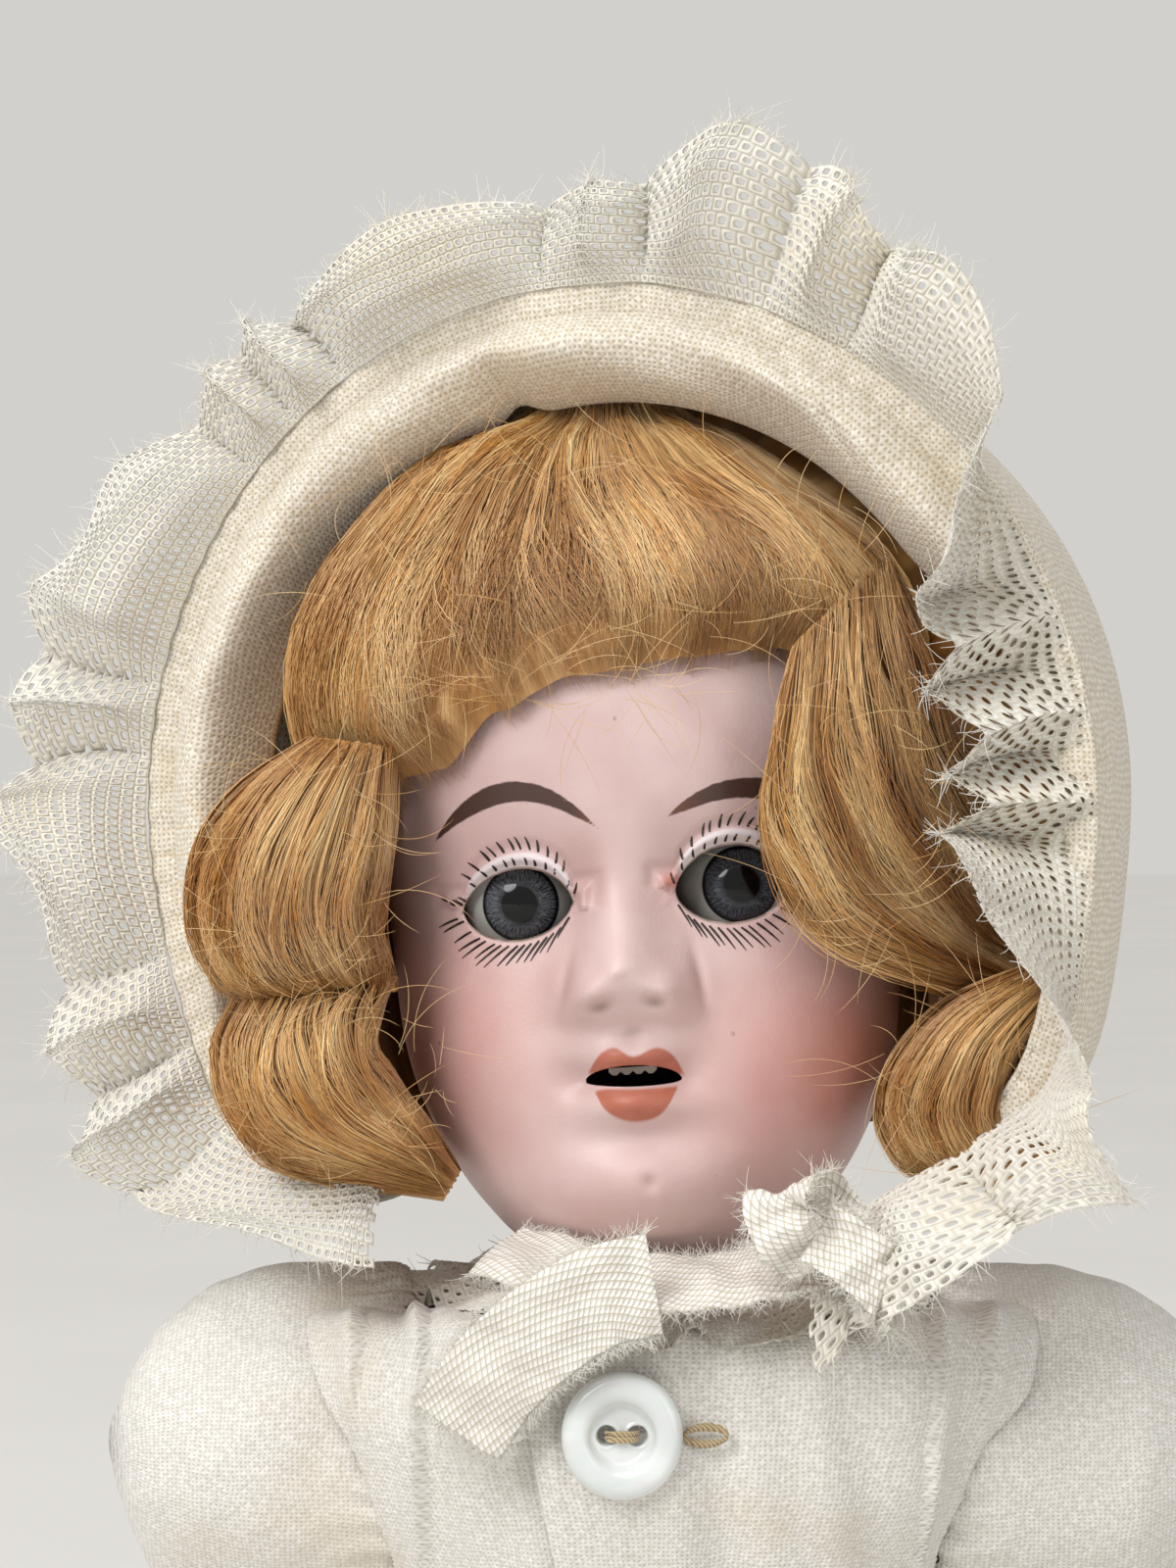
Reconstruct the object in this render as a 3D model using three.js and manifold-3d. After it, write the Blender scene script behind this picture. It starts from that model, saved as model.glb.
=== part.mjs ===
// An antique bisque head doll, seated with its legs straight out, in a linen dress and a lace-edged bonnet.
// Units are millimetres, +Z is up and the doll faces -Y. The origin is on the seat plane, under the torso.
// The doll's own left is at +X.
import * as THREE from "three";
import { mergeVertices } from "three/addons/utils/BufferGeometryUtils.js";
import Module from "manifold-3d";

const wasm = await Module();
wasm.setup();

const { PI, sin, cos, sqrt, abs, max, min, exp } = Math;
const degree = PI / 180;
const turn = 2 * PI;

// Shared clearances
const gap = 0.3; // between pieces that rest on each other
const jointGap = 0.35; // between a joint's ball and its cup
const overrun = 2; // how far a cut runs past the face that it opens

// Bisque socket head, measured from the centre of the neck's ball
const neckPivot = { back: 3, aboveTorso: 7 };
const headLean = 4 * degree; // towards the doll's right
const headTurn = 6 * degree; // towards the doll's right
const head = { height: 72.5, chinRise: 3.5, halfWidth: 26.4, front: 26, back: 30, wall: 2.8 };
const neck = { radius: 11.5, bore: 6.5, topRise: 1.8 };
const crownCut = { rise: 62, tilt: 10 * degree };
const eye = { spacing: 10.2, rise: 38.2, radius: 6.3, centreFront: 13.6 };
const eyeOpening = { halfWidth: 5.15, upper: 3.5, lower: 3.3, sweep: 0.5 };
const mouth = { halfWidth: 4.5, rise: 21.4, upper: 1.15, lower: 0.8 };

// Sleep-eye rocker and the plaster that holds the eyes
const rocker = { wireRadius: 0.7, weightRadius: 4.2, weightLength: 8, stemBack: 7.5, stemDrop: 15 };
const plaster = { radius: 4.6, outset: 6.2 };
const tooth = { count: 4, width: 1.15, height: 0.75, depth: 0.8, front: 22.6 };

// Neck hardware
const plug = { radius: 6.2, height: 9, bore: 2.7, topRise: 1 };
const hook = { wireRadius: 0.8, topRise: 5.6, drop: 9.6, eyeRadius: 3, washerRadius: 4.6, washerHeight: 1 };

// Mohair wig
const wigCap = { lift: 1.4, thickness: 0.6, tilt: 40 * degree, rise: 52 };
const hairLift = wigCap.lift + wigCap.thickness + gap;
const hairDepth = { crown: 3, fringe: 6, sweep: 4 };

// Bonnet, on its own axes: its mouth is turned further to the doll's right than the head is
const bonnet = { turn: 17 * degree, lean: 4 * degree, side: 2, back: 4.5, riseShare: 0.6414, cloth: 1 };
const bonnetMouth = {
  halfWidth: 46.5, topShare: 0.6828, bottomShare: 0.5931, forward: 14, depth: 56, span: 146 * degree,
};
const brim = { halfWidth: 36.2, topShare: 0.5131, bottomShare: 0.538, forward: 10, roll: 5.5 };
const tape = { width: 3.4, thickness: 0.8 };
const ruffle = { width: 14.5, thickness: 0.9, pleats: 23, wave: 2.7 };
const ribbon = { width: 9.5, thickness: 0.7 };
const knot = { length: 15, height: 8, depth: 6 };

// Composition torso
const torso = { height: 87, wall: 3, halfWidth: 30, depth: 17, centreBack: 5, crotch: 2.7 };
const neckRim = 14;
const shoulder = { out: 29, back: 4, drop: 11, ballRadius: 7.6 };
const hip = { out: 13.2, front: 2, rise: 11, ballRadius: 9.9, raise: 20 * degree };
const elastic = { radius: 1.3, bore: 3.4, spread: 4.6, lean: 14 * degree };

// Arms and legs
const upperArm = { length: 33, topRadius: 5.9, endRadius: 4, splay: 18 * degree };
const foreArm = { length: 27, topRadius: 5.2, endRadius: 4.1 };
const elbow = { radius: 5, bend: 62 * degree };
const jointSpace = { elbow: 3.6, knee: 4.4 }; // from a loose ball's centre to the rims beside it
const palmShares = [
  [0.1, 0.62, 0.8], [0.25, 0.72, 0.82], [0.45, 0.96, 1], [0.62, 1, 0.9], [0.8, 0.86, 0.62], [1, 0.42, 0.3],
]; // rows of drop, width and thickness of the hand
const hand = { length: 17, width: 9, thickness: 5.4, ballRadius: 3.6, thumbSplay: 28 * degree };
const thigh = { length: 62, topRadius: 9.3, widest: 9.8, endRadius: 6.2 };
const knee = { radius: 7.2 };
const shin = { length: 52, topRadius: 8, calfRadius: 8.3, ankleRadius: 5.4 };
const foot = { length: 27, width: 11, height: 8 };
const sock = { thickness: 0.7, height: 27 };
const shoe = { wall: 1, sole: 1.4, rim: 3.4 };
const strap = { width: 3.2, thickness: 0.8, forward: 8.5 };

// Dress
const cloth = 1.1;
const bodice = {
  waistDrop: 40, topAbove: 6, halfWidth: 41, front: 26.5, back: 25, neckRadius: 14.6, neckDrop: 3.8,
};
const armhole = { radius: 19, inner: 24 };
const sleeve = {
  puffRadius: 18.5, puffOut: 42, inner: 24.6, outer: 56.5, tubeRadius: 11.5, endRadius: 7.4, wall: 1,
};
const cuff = { width: 5, wall: 1 };
const collar = { width: 7.5, thickness: 0.9, stand: 1.8, rise: 0.8, waves: 13 };
const button = { radius: 5.7, thickness: 2.4, drop: 5.4, out: -5, holeRadius: 0.9, holeSpacing: 1.5 };
const skirt = { length: 98, halfSpread: 58, backSpread: 44, hemRise: 1, overLegs: 25, folds: 15, fold: 2 };

// Rises that follow the torso's height and the head's height
neckPivot.rise = torso.height + neckPivot.aboveTorso;
shoulder.rise = torso.height - shoulder.drop;
bodice.waistRise = torso.height - bodice.waistDrop;
bodice.topRise = torso.height + bodice.topAbove;
button.rise = torso.height - button.drop;
bonnet.rise = neckPivot.rise + bonnet.riseShare * head.height;
for (const edge of [bonnetMouth, brim]) {
  edge.top = edge.topShare * head.height;
  edge.bottom = edge.bottomShare * head.height;
}

const finish = (color, roughness, metalness = 0) =>
  new THREE.MeshStandardMaterial({ color, roughness, metalness });
const material = {
  bisque: finish(0xe3c4b8, 0.45),
  glass: finish(0x4a4f55, 0.05),
  mohair: finish(0xc08a45, 0.6),
  linen: finish(0xe6e0d2, 0.9),
  lace: finish(0xe0ddd0, 0.95),
  ribbon: finish(0xe4ddd0, 0.5),
  composition: finish(0xe0b392, 0.5),
  wood: finish(0xc9a06c, 0.7),
  cork: finish(0xa9794c, 0.9),
  plaster: finish(0xece8de, 0.9),
  steel: finish(0x8d8f92, 0.4, 1),
  lead: finish(0x5e6064, 0.6, 1),
  rubber: finish(0xd9cdb4, 0.8),
  gauze: finish(0xd8cfb8, 0.95),
  shell: finish(0xeceff0, 0.25),
  leather: finish(0x4a3226, 0.55),
  enamel: finish(0xf2ece0, 0.2),
};

// Small helpers

const smooth = (a, b, x) => {
  const t = min(1, max(0, (x - a) / (b - a)));
  return t * t * (3 - 2 * t);
};
const mix = (a, b, t) => a + (b - a) * t;

// A smooth curve through rows of numbers: a whole place along it is a row itself.
function splineRow(rows, place) {
  const last = rows.length - 1;
  const i = min(last - 1, max(0, Math.floor(place)));
  const t = place - i;
  const [p, a, b, n] = [rows[max(0, i - 1)], rows[i], rows[i + 1], rows[min(last, i + 2)]];
  const [t2, t3] = [t * t, t * t * t];
  return a.map((_, k) => {
    const [slopeA, slopeB] = [(b[k] - p[k]) / 2, (n[k] - a[k]) / 2];
    return (2 * t3 - 3 * t2 + 1) * a[k] + (t3 - 2 * t2 + t) * slopeA
      + (3 * t2 - 2 * t3) * b[k] + (t3 - t2) * slopeB;
  });
}

// The value of a table of [place, value] rows at x, eased between the rows.
function table(rows, x) {
  if (x <= rows[0][0]) return rows[0][1];
  for (let i = 1; i < rows.length; i++)
    if (x <= rows[i][0]) return mix(rows[i - 1][1], rows[i][1], smooth(rows[i - 1][0], rows[i][0], x));
  return rows[rows.length - 1][1];
}

// A geometry from points and triangles: doubled points are merged, slivers dropped and faces turned outwards.
function geometryOf(points, faces) {
  const index = new Map();
  const kept = [];
  const rename = points.map((p) => {
    const key = [p.x, p.y, p.z].map((c) => Math.round(c * 1000)).join();
    if (!index.has(key)) {
      index.set(key, kept.length);
      kept.push(p);
    }
    return index.get(key);
  });
  let triangles = faces.map((f) => f.map((i) => rename[i]));
  triangles = triangles.filter(([a, b, c]) => a !== b && b !== c && a !== c);
  const volume = triangles.reduce(
    (sum, [a, b, c]) => sum + kept[a].dot(new THREE.Vector3().crossVectors(kept[b], kept[c])), 0);
  if (volume < 0) triangles = triangles.map(([a, b, c]) => [a, c, b]);
  const geometry = new THREE.BufferGeometry();
  geometry.setAttribute("position", new THREE.Float32BufferAttribute(kept.flatMap((p) => p.toArray()), 3));
  geometry.setIndex(triangles.flat());
  return geometry;
}

// A closed solid between two surfaces, each a function of u and v from 0 to 1. With loop, u joins up with
// itself.
function between(outer, inner, stepsU, stepsV, loop = false) {
  const points = [];
  const faces = [];
  const columns = loop ? stepsU : stepsU + 1;
  const at = (side, i, j) => (side * (stepsV + 1) + j) * columns + (i % columns);
  for (const surface of [outer, inner])
    for (let j = 0; j <= stepsV; j++)
      for (let i = 0; i < columns; i++) points.push(surface(i / stepsU, j / stepsV));
  const quad = (a, b, c, d) => faces.push([a, b, c], [a, c, d]);
  for (let i = 0; i < stepsU; i++) {
    for (let j = 0; j < stepsV; j++) {
      quad(at(0, i, j), at(0, i + 1, j), at(0, i + 1, j + 1), at(0, i, j + 1));
      quad(at(1, i, j), at(1, i, j + 1), at(1, i + 1, j + 1), at(1, i + 1, j));
    }
    quad(at(0, i, 0), at(1, i, 0), at(1, i + 1, 0), at(0, i + 1, 0));
    quad(at(0, i, stepsV), at(0, i + 1, stepsV), at(1, i + 1, stepsV), at(1, i, stepsV));
  }
  if (!loop)
    for (let j = 0; j < stepsV; j++) {
      quad(at(0, 0, j), at(0, 0, j + 1), at(1, 0, j + 1), at(1, 0, j));
      quad(at(0, stepsU, j), at(1, stepsU, j), at(1, stepsU, j + 1), at(0, stepsU, j + 1));
    }
  return geometryOf(points, faces);
}

// A closed solid through rings of points, capped at the first and the last ring.
function loft(rings) {
  const points = rings.flat();
  const faces = [];
  const n = rings[0].length;
  for (let j = 0; j + 1 < rings.length; j++)
    for (let i = 0; i < n; i++) {
      const [a, b] = [j * n + i, j * n + ((i + 1) % n)];
      faces.push([a, b, b + n], [a, b + n, a + n]);
    }
  const ends = [[rings[0], 0, true], [rings.at(-1), (rings.length - 1) * n, false]];
  for (const [ring, start, flip] of ends) {
    const middle = ring.reduce((sum, p) => sum.add(p), new THREE.Vector3()).divideScalar(n);
    points.push(middle);
    for (let i = 0; i < n; i++) {
      const [a, b] = [start + i, start + ((i + 1) % n)];
      faces.push(flip ? [points.length - 1, b, a] : [points.length - 1, a, b]);
    }
  }
  return geometryOf(points, faces);
}

// A ring of points round the Z direction; front and back may reach differently far from the middle.
function ring(steps, z, halfWidth, front, back = front, middleY = 0) {
  return Array.from({ length: steps }, (_, i) => {
    const angle = (i / steps) * turn;
    const reach = cos(angle) > 0 ? front : back;
    return new THREE.Vector3(halfWidth * sin(angle), middleY - reach * cos(angle), z);
  });
}

const solid = (geometry) => {
  const bare = geometry.clone();
  bare.deleteAttribute("normal");
  bare.deleteAttribute("uv");
  const merged = mergeVertices(bare, 1e-3);
  return new wasm.Manifold(new wasm.Mesh({
    numProp: 3,
    vertProperties: new Float32Array(merged.attributes.position.array),
    triVerts: new Uint32Array(merged.index.array),
  }));
};

// The geometry of a cut solid. Only its largest body is kept, so that a cut leaves no loose sliver.
const shape = (manifold) => {
  const largest = manifold.decompose().reduce((a, b) => (b.volume() > a.volume() ? b : a));
  const mesh = largest.getMesh();
  const geometry = new THREE.BufferGeometry();
  geometry.setAttribute("position", new THREE.Float32BufferAttribute(Array.from(mesh.vertProperties), 3));
  geometry.setIndex(Array.from(mesh.triVerts));
  return geometry;
};

const ball = (radius, x, y, z, steps) =>
  new THREE.SphereGeometry(radius, steps, Math.round(steps * 0.7)).translate(x, y, z);
const rod = (radius, length, steps) => new THREE.CylinderGeometry(radius, radius, length, steps);
const block = (x, y, z) => new THREE.BoxGeometry(x, y, z);

function piece(parent, name, geometry, look) {
  const mesh = new THREE.Mesh(geometry, look);
  mesh.name = name;
  parent.add(mesh);
}

const doll = new THREE.Group();

// Head

// Rows of [rise, half width, front reach, back reach] of the head, from under the chin to the crown.
const headRowShares = [
  [0, 0.47, 0.62, 0.4], [0.02, 0.57, 0.8, 0.43], [0.055, 0.655, 0.9, 0.47], [0.11, 0.76, 0.955, 0.54],
  [0.193, 0.872, 0.95, 0.66], [0.276, 0.937, 0.94, 0.78], [0.372, 0.963, 0.93, 0.89],
  [0.476, 0.972, 0.925, 0.965], [0.58, 0.993, 0.975, 1], [0.69, 1, 1, 1], [0.786, 0.95, 0.945, 0.94],
  [0.883, 0.8, 0.79, 0.78], [0.952, 0.56, 0.56, 0.56], [0.99, 0.28, 0.28, 0.28], [1, 0, 0, 0],
];
const neckAngles = [8, 32, 58, 90].map((a) => a * degree);
const headRows = [
  ...neckAngles.map((a) => [-neck.radius * cos(a), ...Array(3).fill(neck.radius * sin(a))]),
  [neck.topRise, ...Array(3).fill(neck.radius)],
  ...headRowShares.map(([rise, width, front, back]) =>
    [head.chinRise + rise * head.height, width * head.halfWidth, front * head.front, back * head.back]),
];
const firstHeadRow = neckAngles.length + 1;
const lastHeadRow = headRows.length - 1;

// Swells and hollows of the face, as shares of the head's height: [across, above the chin, depth, spread
// across, spread up]. The second list is used on both sides.
const middleFeatureShares = [
  [0, 0.372, 0.066, 0.044, 0.042], [0, 0.43, 0.03, 0.036, 0.05], [0, 0.49, 0.02, 0.034, 0.06],
  [0, 0.208, 0.024, 0.046, 0.021], [0, 0.158, -0.01, 0.07, 0.022], [0, 0.095, 0.022, 0.075, 0.06],
];
const sideFeatureShares = [
  [0.056, 0.345, 0.036, 0.028, 0.03], [0.128, 0.485, -0.022, 0.072, 0.055], [0.12, 0.6, 0.006, 0.09, 0.05],
  [0.028, 0.272, 0.02, 0.034, 0.017], [0.072, 0.245, -0.012, 0.022, 0.022], [0.2, 0.27, 0.02, 0.11, 0.11],
];
const featureShares = [
  ...middleFeatureShares, ...sideFeatureShares,
  ...sideFeatureShares.map(([across, ...rest]) => [-across, ...rest]),
];
function faceRelief(x, z) {
  const [across, up] = [x / head.height, (z - head.chinRise) / head.height];
  return head.height * featureShares.reduce((sum, [fx, fz, depth, sx, sz]) =>
    sum + depth * exp(-(((across - fx) / sx) ** 2 + ((up - fz) / sz) ** 2) / 2), 0);
}

// A point of the head at an angle from the front and a place along the rows, grown outwards by lift.
function headPoint(angle, place, lift = 0, relief = true) {
  const [z, width, front, back] = splineRow(headRows, place);
  const reach = cos(angle) > 0 ? front : back;
  const point = new THREE.Vector3(width * sin(angle), -reach * cos(angle), z);
  if (lift !== 0) {
    const [zHigh, widthHigh, frontHigh, backHigh] = splineRow(headRows, min(lastHeadRow, place + 0.02));
    const [zLow, widthLow, frontLow, backLow] = splineRow(headRows, max(0, place - 0.02));
    const growth = cos(angle) > 0 ? frontHigh - frontLow : backHigh - backLow;
    const run = (widthHigh - widthLow + growth) / 2;
    const around = width < neck.topRise
      ? new THREE.Vector3(sin(angle), -cos(angle), 0)
      : new THREE.Vector3(sin(angle) / width, -cos(angle) / reach, 0).normalize();
    const normal = around.multiplyScalar(zHigh - zLow).add(new THREE.Vector3(0, 0, -run)).normalize();
    point.addScaledVector(normal, lift);
  }
  if (relief && cos(angle) > 0) point.y -= faceRelief(point.x, point.z) * smooth(0, 0.45, cos(angle));
  return point;
}

// The place along rows, from a first to a last one, at which the rings reach a given rise.
function placeAtRise(rise, rows = headRows, low = firstHeadRow, high = lastHeadRow) {
  for (let i = 0; i < 24; i++) {
    const middle = (low + high) / 2;
    if (splineRow(rows, middle)[0] < rise) low = middle;
    else high = middle;
  }
  return low;
}

// The head as a solid, grown by lift. With relief, the steps round it lie closer together on the face.
const faceCrowding = 0.62;
function headSolid(lift, relief, stepsU, stepsV, from = 0) {
  const crowding = relief ? faceCrowding : 0;
  const rings = [];
  for (let j = 0; j <= stepsV; j++)
    rings.push(Array.from({ length: stepsU }, (_, i) => {
      const even = ((i + 0.5) / stepsU - 0.5) * turn;
      return headPoint(even - crowding * sin(even), mix(from, lastHeadRow, j / stepsV), lift, relief);
    }));
  return solid(loft(rings));
}

// A lens-shaped cutter along Y: its upper and lower edges bow by different heights and its ends may differ.
function lens(halfWidth, upper, lower, sweep, depth) {
  const outline = new THREE.Shape();
  outline.moveTo(-halfWidth, -sweep);
  outline.bezierCurveTo(-halfWidth / 2, upper * 1.25, halfWidth / 2, upper * 1.25, halfWidth, sweep);
  outline.bezierCurveTo(halfWidth / 2, -lower * 1.35, -halfWidth / 2, -lower * 1.35, -halfWidth, -sweep);
  return new THREE.ExtrudeGeometry(outline, { depth, bevelEnabled: false, curveSegments: 5 })
    .rotateX(PI / 2);
}

const headGroup = new THREE.Group();
headGroup.position.set(0, neckPivot.back, neckPivot.rise);
headGroup.rotation.set(0, -headLean, -headTurn, "ZYX");
doll.add(headGroup);

const aboveCrownCut = (clear) => {
  const room = 2 * head.height;
  return solid(block(room, room, room)
    .translate(0, 0, room / 2 + clear)
    .rotateX(-crownCut.tilt)
    .translate(0, 0, crownCut.rise));
};
const cavity = headSolid(-head.wall, false, 14, 11, firstHeadRow + 1);
let bisque = headSolid(0, true, 26, 26).subtract(cavity).subtract(aboveCrownCut(0));
bisque = bisque.subtract(solid(rod(neck.bore, 2 * head.chinRise + 2 * neck.radius, 14).rotateX(PI / 2)));
const eyeSides = [["right", -1], ["left", 1]];
for (const [, side] of eyeSides) {
  const { halfWidth, upper, lower, sweep } = eyeOpening;
  const cut = lens(halfWidth, upper, lower, side * sweep, head.front).translate(0, -eye.centreFront, 0);
  const room = ball(eye.radius + jointGap, 0, -eye.centreFront, 0, 14);
  for (const cutter of [cut, room])
    bisque = bisque.subtract(solid(cutter.translate(side * eye.spacing, 0, eye.rise)));
}
const mouthCut = lens(mouth.halfWidth, mouth.upper, mouth.lower, 0, head.front);
bisque = bisque.subtract(solid(mouthCut.translate(0, -head.front / 2, mouth.rise)));
piece(headGroup, "bisque_head", shape(bisque), material.bisque);

const pate = headSolid(0, false, 18, 16).subtract(cavity).intersect(aboveCrownCut(gap));
piece(headGroup, "pate", shape(pate), material.cork);

// Milk-glass teeth: one strip with a scalloped lower edge, held just under the upper lip.
function teethGeometry() {
  const outline = new THREE.Shape();
  const half = (tooth.count * tooth.width) / 2;
  outline.moveTo(-half, 0);
  outline.lineTo(half, 0);
  for (let i = 0; i < tooth.count; i++) {
    const right = half - i * tooth.width;
    outline.lineTo(right, -tooth.height / 2);
    const left = right - tooth.width;
    outline.quadraticCurveTo((left + right) / 2, -tooth.height * 1.5, left, -tooth.height / 2);
  }
  return new THREE.ExtrudeGeometry(outline, { depth: tooth.depth, bevelEnabled: false, curveSegments: 3 })
    .rotateX(PI / 2)
    .translate(0, -tooth.front, mouth.rise + mouth.upper * 0.45);
}
piece(headGroup, "teeth", teethGeometry(), material.enamel);

const bedRoom = headSolid(-head.wall - gap, false, 14, 11, firstHeadRow + 1);
for (const [name, side] of eyeSides) {
  const lump = solid(
    ball(plaster.radius, side * (eye.spacing + plaster.outset), -eye.centreFront, eye.rise, 10));
  const bed = lump.intersect(bedRoom)
    .subtract(solid(ball(eye.radius + jointGap, side * eye.spacing, -eye.centreFront, eye.rise, 12)));
  piece(headGroup, "plaster_bed_" + name, shape(bed), material.plaster);
  piece(headGroup, "eyeball_" + name,
    ball(eye.radius, side * eye.spacing, -eye.centreFront, eye.rise, 14), material.glass);
}

// The rocker: a cross wire between the eyes and a stem that carries the lead weight.
const crossWire = rod(rocker.wireRadius, 2 * (eye.spacing - eye.radius - gap), 10).rotateZ(PI / 2);
const stemLength = sqrt(rocker.stemBack ** 2 + rocker.stemDrop ** 2);
const stemTilt = Math.atan2(rocker.stemBack, rocker.stemDrop);
const onStem = (geometry) => geometry.rotateX(PI / 2 + stemTilt);
const stem = onStem(rod(rocker.wireRadius, stemLength, 10).translate(0, -stemLength / 2, 0));
piece(headGroup, "eye_wire",
  shape(solid(crossWire).add(solid(stem))).translate(0, -eye.centreFront, eye.rise), material.steel);
const weight = onStem(
  new THREE.CylinderGeometry(rocker.weightRadius * 0.7, rocker.weightRadius, rocker.weightLength, 12)
    .translate(0, -stemLength - rocker.weightLength / 2 - gap, 0)).translate(0, -eye.centreFront, eye.rise);
piece(headGroup, "eye_weight", weight, material.lead);

// Neck plug and hook
const plugTop = neck.topRise + plug.topRise;
const atPlug = (geometry) => geometry.rotateX(PI / 2).translate(0, 0, plugTop - plug.height / 2);
const plugBody = solid(atPlug(rod(plug.radius, plug.height, 14)));
const plugBore = solid(atPlug(rod(plug.bore, plug.height + 2 * overrun, 10)));
piece(headGroup, "neck_plug", shape(plugBody.subtract(plugBore)), material.wood);

const neckGroup = new THREE.Group();
neckGroup.position.copy(headGroup.position);
doll.add(neckGroup);
const hookEye = new THREE.TorusGeometry(hook.eyeRadius, hook.wireRadius, 6, 10)
  .translate(0, -hook.drop - hook.eyeRadius, 0)
  .rotateX(PI / 2);
const hookShaft = rod(hook.wireRadius, hook.topRise + hook.drop, 8).rotateX(PI / 2)
  .translate(0, 0, (hook.topRise - hook.drop) / 2);
const washerRise = plugTop + gap + hook.washerHeight / 2 + plug.radius * sin(headLean);
const washer = rod(hook.washerRadius, hook.washerHeight, 14).rotateX(PI / 2).translate(0, 0, washerRise);
piece(neckGroup, "neck_hook", shape(solid(hookShaft).add(solid(hookEye)).add(solid(washer))), material.steel);

// Wig

// A layer on the head between two lifts; low and high give its lower and upper rise at each angle.
function headLayer(fromAngle, toAngle, low, high, inner, outer, stepsU, stepsV) {
  const surface = (lift) => (u, v) => {
    const angle = mix(fromAngle, toAngle, u);
    const top = high ? placeAtRise(high(angle)) : lastHeadRow;
    return headPoint(angle, mix(placeAtRise(low(angle)), top, v), lift(u, v), false);
  };
  return between(surface(outer), surface(inner), stepsU, stepsV);
}
// The cap and the hair on it share their steps, so that they lie evenly on each other.
const onHead = (lift) => headSolid(lift, false, 14, 11, firstHeadRow);
const capRange = solid(block(2 * head.height, 2 * head.height, 2 * head.height)
  .translate(0, 0, head.height)
  .rotateX(-wigCap.tilt)
  .translate(0, 0, wigCap.rise));
const cap = onHead(wigCap.lift + wigCap.thickness).subtract(onHead(wigCap.lift)).intersect(capRange);
piece(headGroup, "wig_cap", shape(cap), material.gauze);
const hairInside = onHead(hairLift);

const crownStart = 0.36 * PI;
const crownEdgeShares = [[0.36, 0.45], [0.6, 0.2], [1, 0.12]];
const crownTopShares = [[0.36, 0.9], [0.7, 1.03], [1, 1.04]];
const fromFront = (angle) => (angle > PI ? turn - angle : angle) / PI;
const crownHair = headLayer(crownStart, turn - crownStart,
  (angle) => head.height * table(crownEdgeShares, fromFront(angle)),
  (angle) => head.height * table(crownTopShares, fromFront(angle)),
  () => wigCap.lift,
  (u, v) => hairLift + hairDepth.crown * (0.45 + 0.55 * sin(PI * min(0.94, v + 0.12))), 14, 7);
piece(headGroup, "wig_crown", shape(solid(crownHair).subtract(hairInside)), material.mohair);

const fringeEnd = crownStart - 0.02 * PI;
const fringeEdgeShares = [[-0.34, 0.71], [-0.22, 0.7], [-0.02, 0.82], [0.2, 0.83], [0.34, 0.74]];
const fringeHair = headLayer(-fringeEnd, fringeEnd,
  (angle) => head.height * table(fringeEdgeShares, angle / PI), () => head.chinRise + head.height * 0.995,
  () => wigCap.lift,
  (u, v) => hairLift + hairDepth.fringe * (0.3 + 0.7 * sin(PI * min(0.8, 0.12 + v))), 12, 5);
piece(headGroup, "wig_fringe", shape(solid(fringeHair).subtract(hairInside)), material.mohair);

// Side curls: rolls of hair beside the cheeks, clear of the face and of the hair on the head.
const curls = {
  curl_right_upper: { across: -32, forward: 14.5, rise: 41, halfWidth: 9, halfDepth: 7.5, halfHeight: 11 },
  curl_right_lower: { across: -29, forward: 15, rise: 22.2, halfWidth: 10, halfDepth: 7.5, halfHeight: 9 },
  curl_left_lower: { across: 25.6, forward: 15.5, rise: 20.5, halfWidth: 8, halfDepth: 7.5, halfHeight: 8.6 },
};
const hairRoom = headSolid(hairLift + hairDepth.crown + 3 * gap, false, 16, 12, firstHeadRow);
const cheekRoom = headSolid(2 * gap, true, 24, 20, firstHeadRow);
const curlBody = (c, grown = 0) => solid(new THREE.SphereGeometry(1, 10, 8)
  .scale(c.halfWidth + grown, c.halfDepth + grown, c.halfHeight + grown)
  .translate(c.across, -c.forward, c.rise));
for (const [name, c] of Object.entries(curls)) {
  let body = curlBody(c).subtract(hairRoom).subtract(cheekRoom);
  if (name === "curl_right_lower") body = body.subtract(curlBody(curls.curl_right_upper, gap));
  piece(headGroup, name, shape(body), material.mohair);
}
const sweepLift = 4 * gap;
const sweepLowShares = [[0.12, 0.68], [0.16, 0.42], [0.24, 0.3], [0.35, 0.27]];
const sweepHighShares = [[0.12, 0.73], [0.2, 0.76], [0.35, 0.66]];
const sweepDepth = (u, v) => hairDepth.sweep * (0.25 + 0.75 * sin(PI * v) * sin(PI * min(0.9, u + 0.1)));
piece(headGroup, "curl_left_sweep", headLayer(0.13 * PI, fringeEnd,
  (angle) => head.height * table(sweepLowShares, angle / PI),
  (angle) => head.height * table(sweepHighShares, angle / PI),
  () => sweepLift, (u, v) => sweepLift + sweepDepth(u, v), 7, 7), material.mohair);

// Bonnet

const bonnetGroup = new THREE.Group();
bonnetGroup.position.set(-bonnet.side, bonnet.back, bonnet.rise);
bonnetGroup.rotation.set(0, -bonnet.lean, -bonnet.turn, "ZYX");
doll.add(bonnetGroup);

const bigger = (value, power) => Math.sign(value) * abs(value) ** power;

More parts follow.
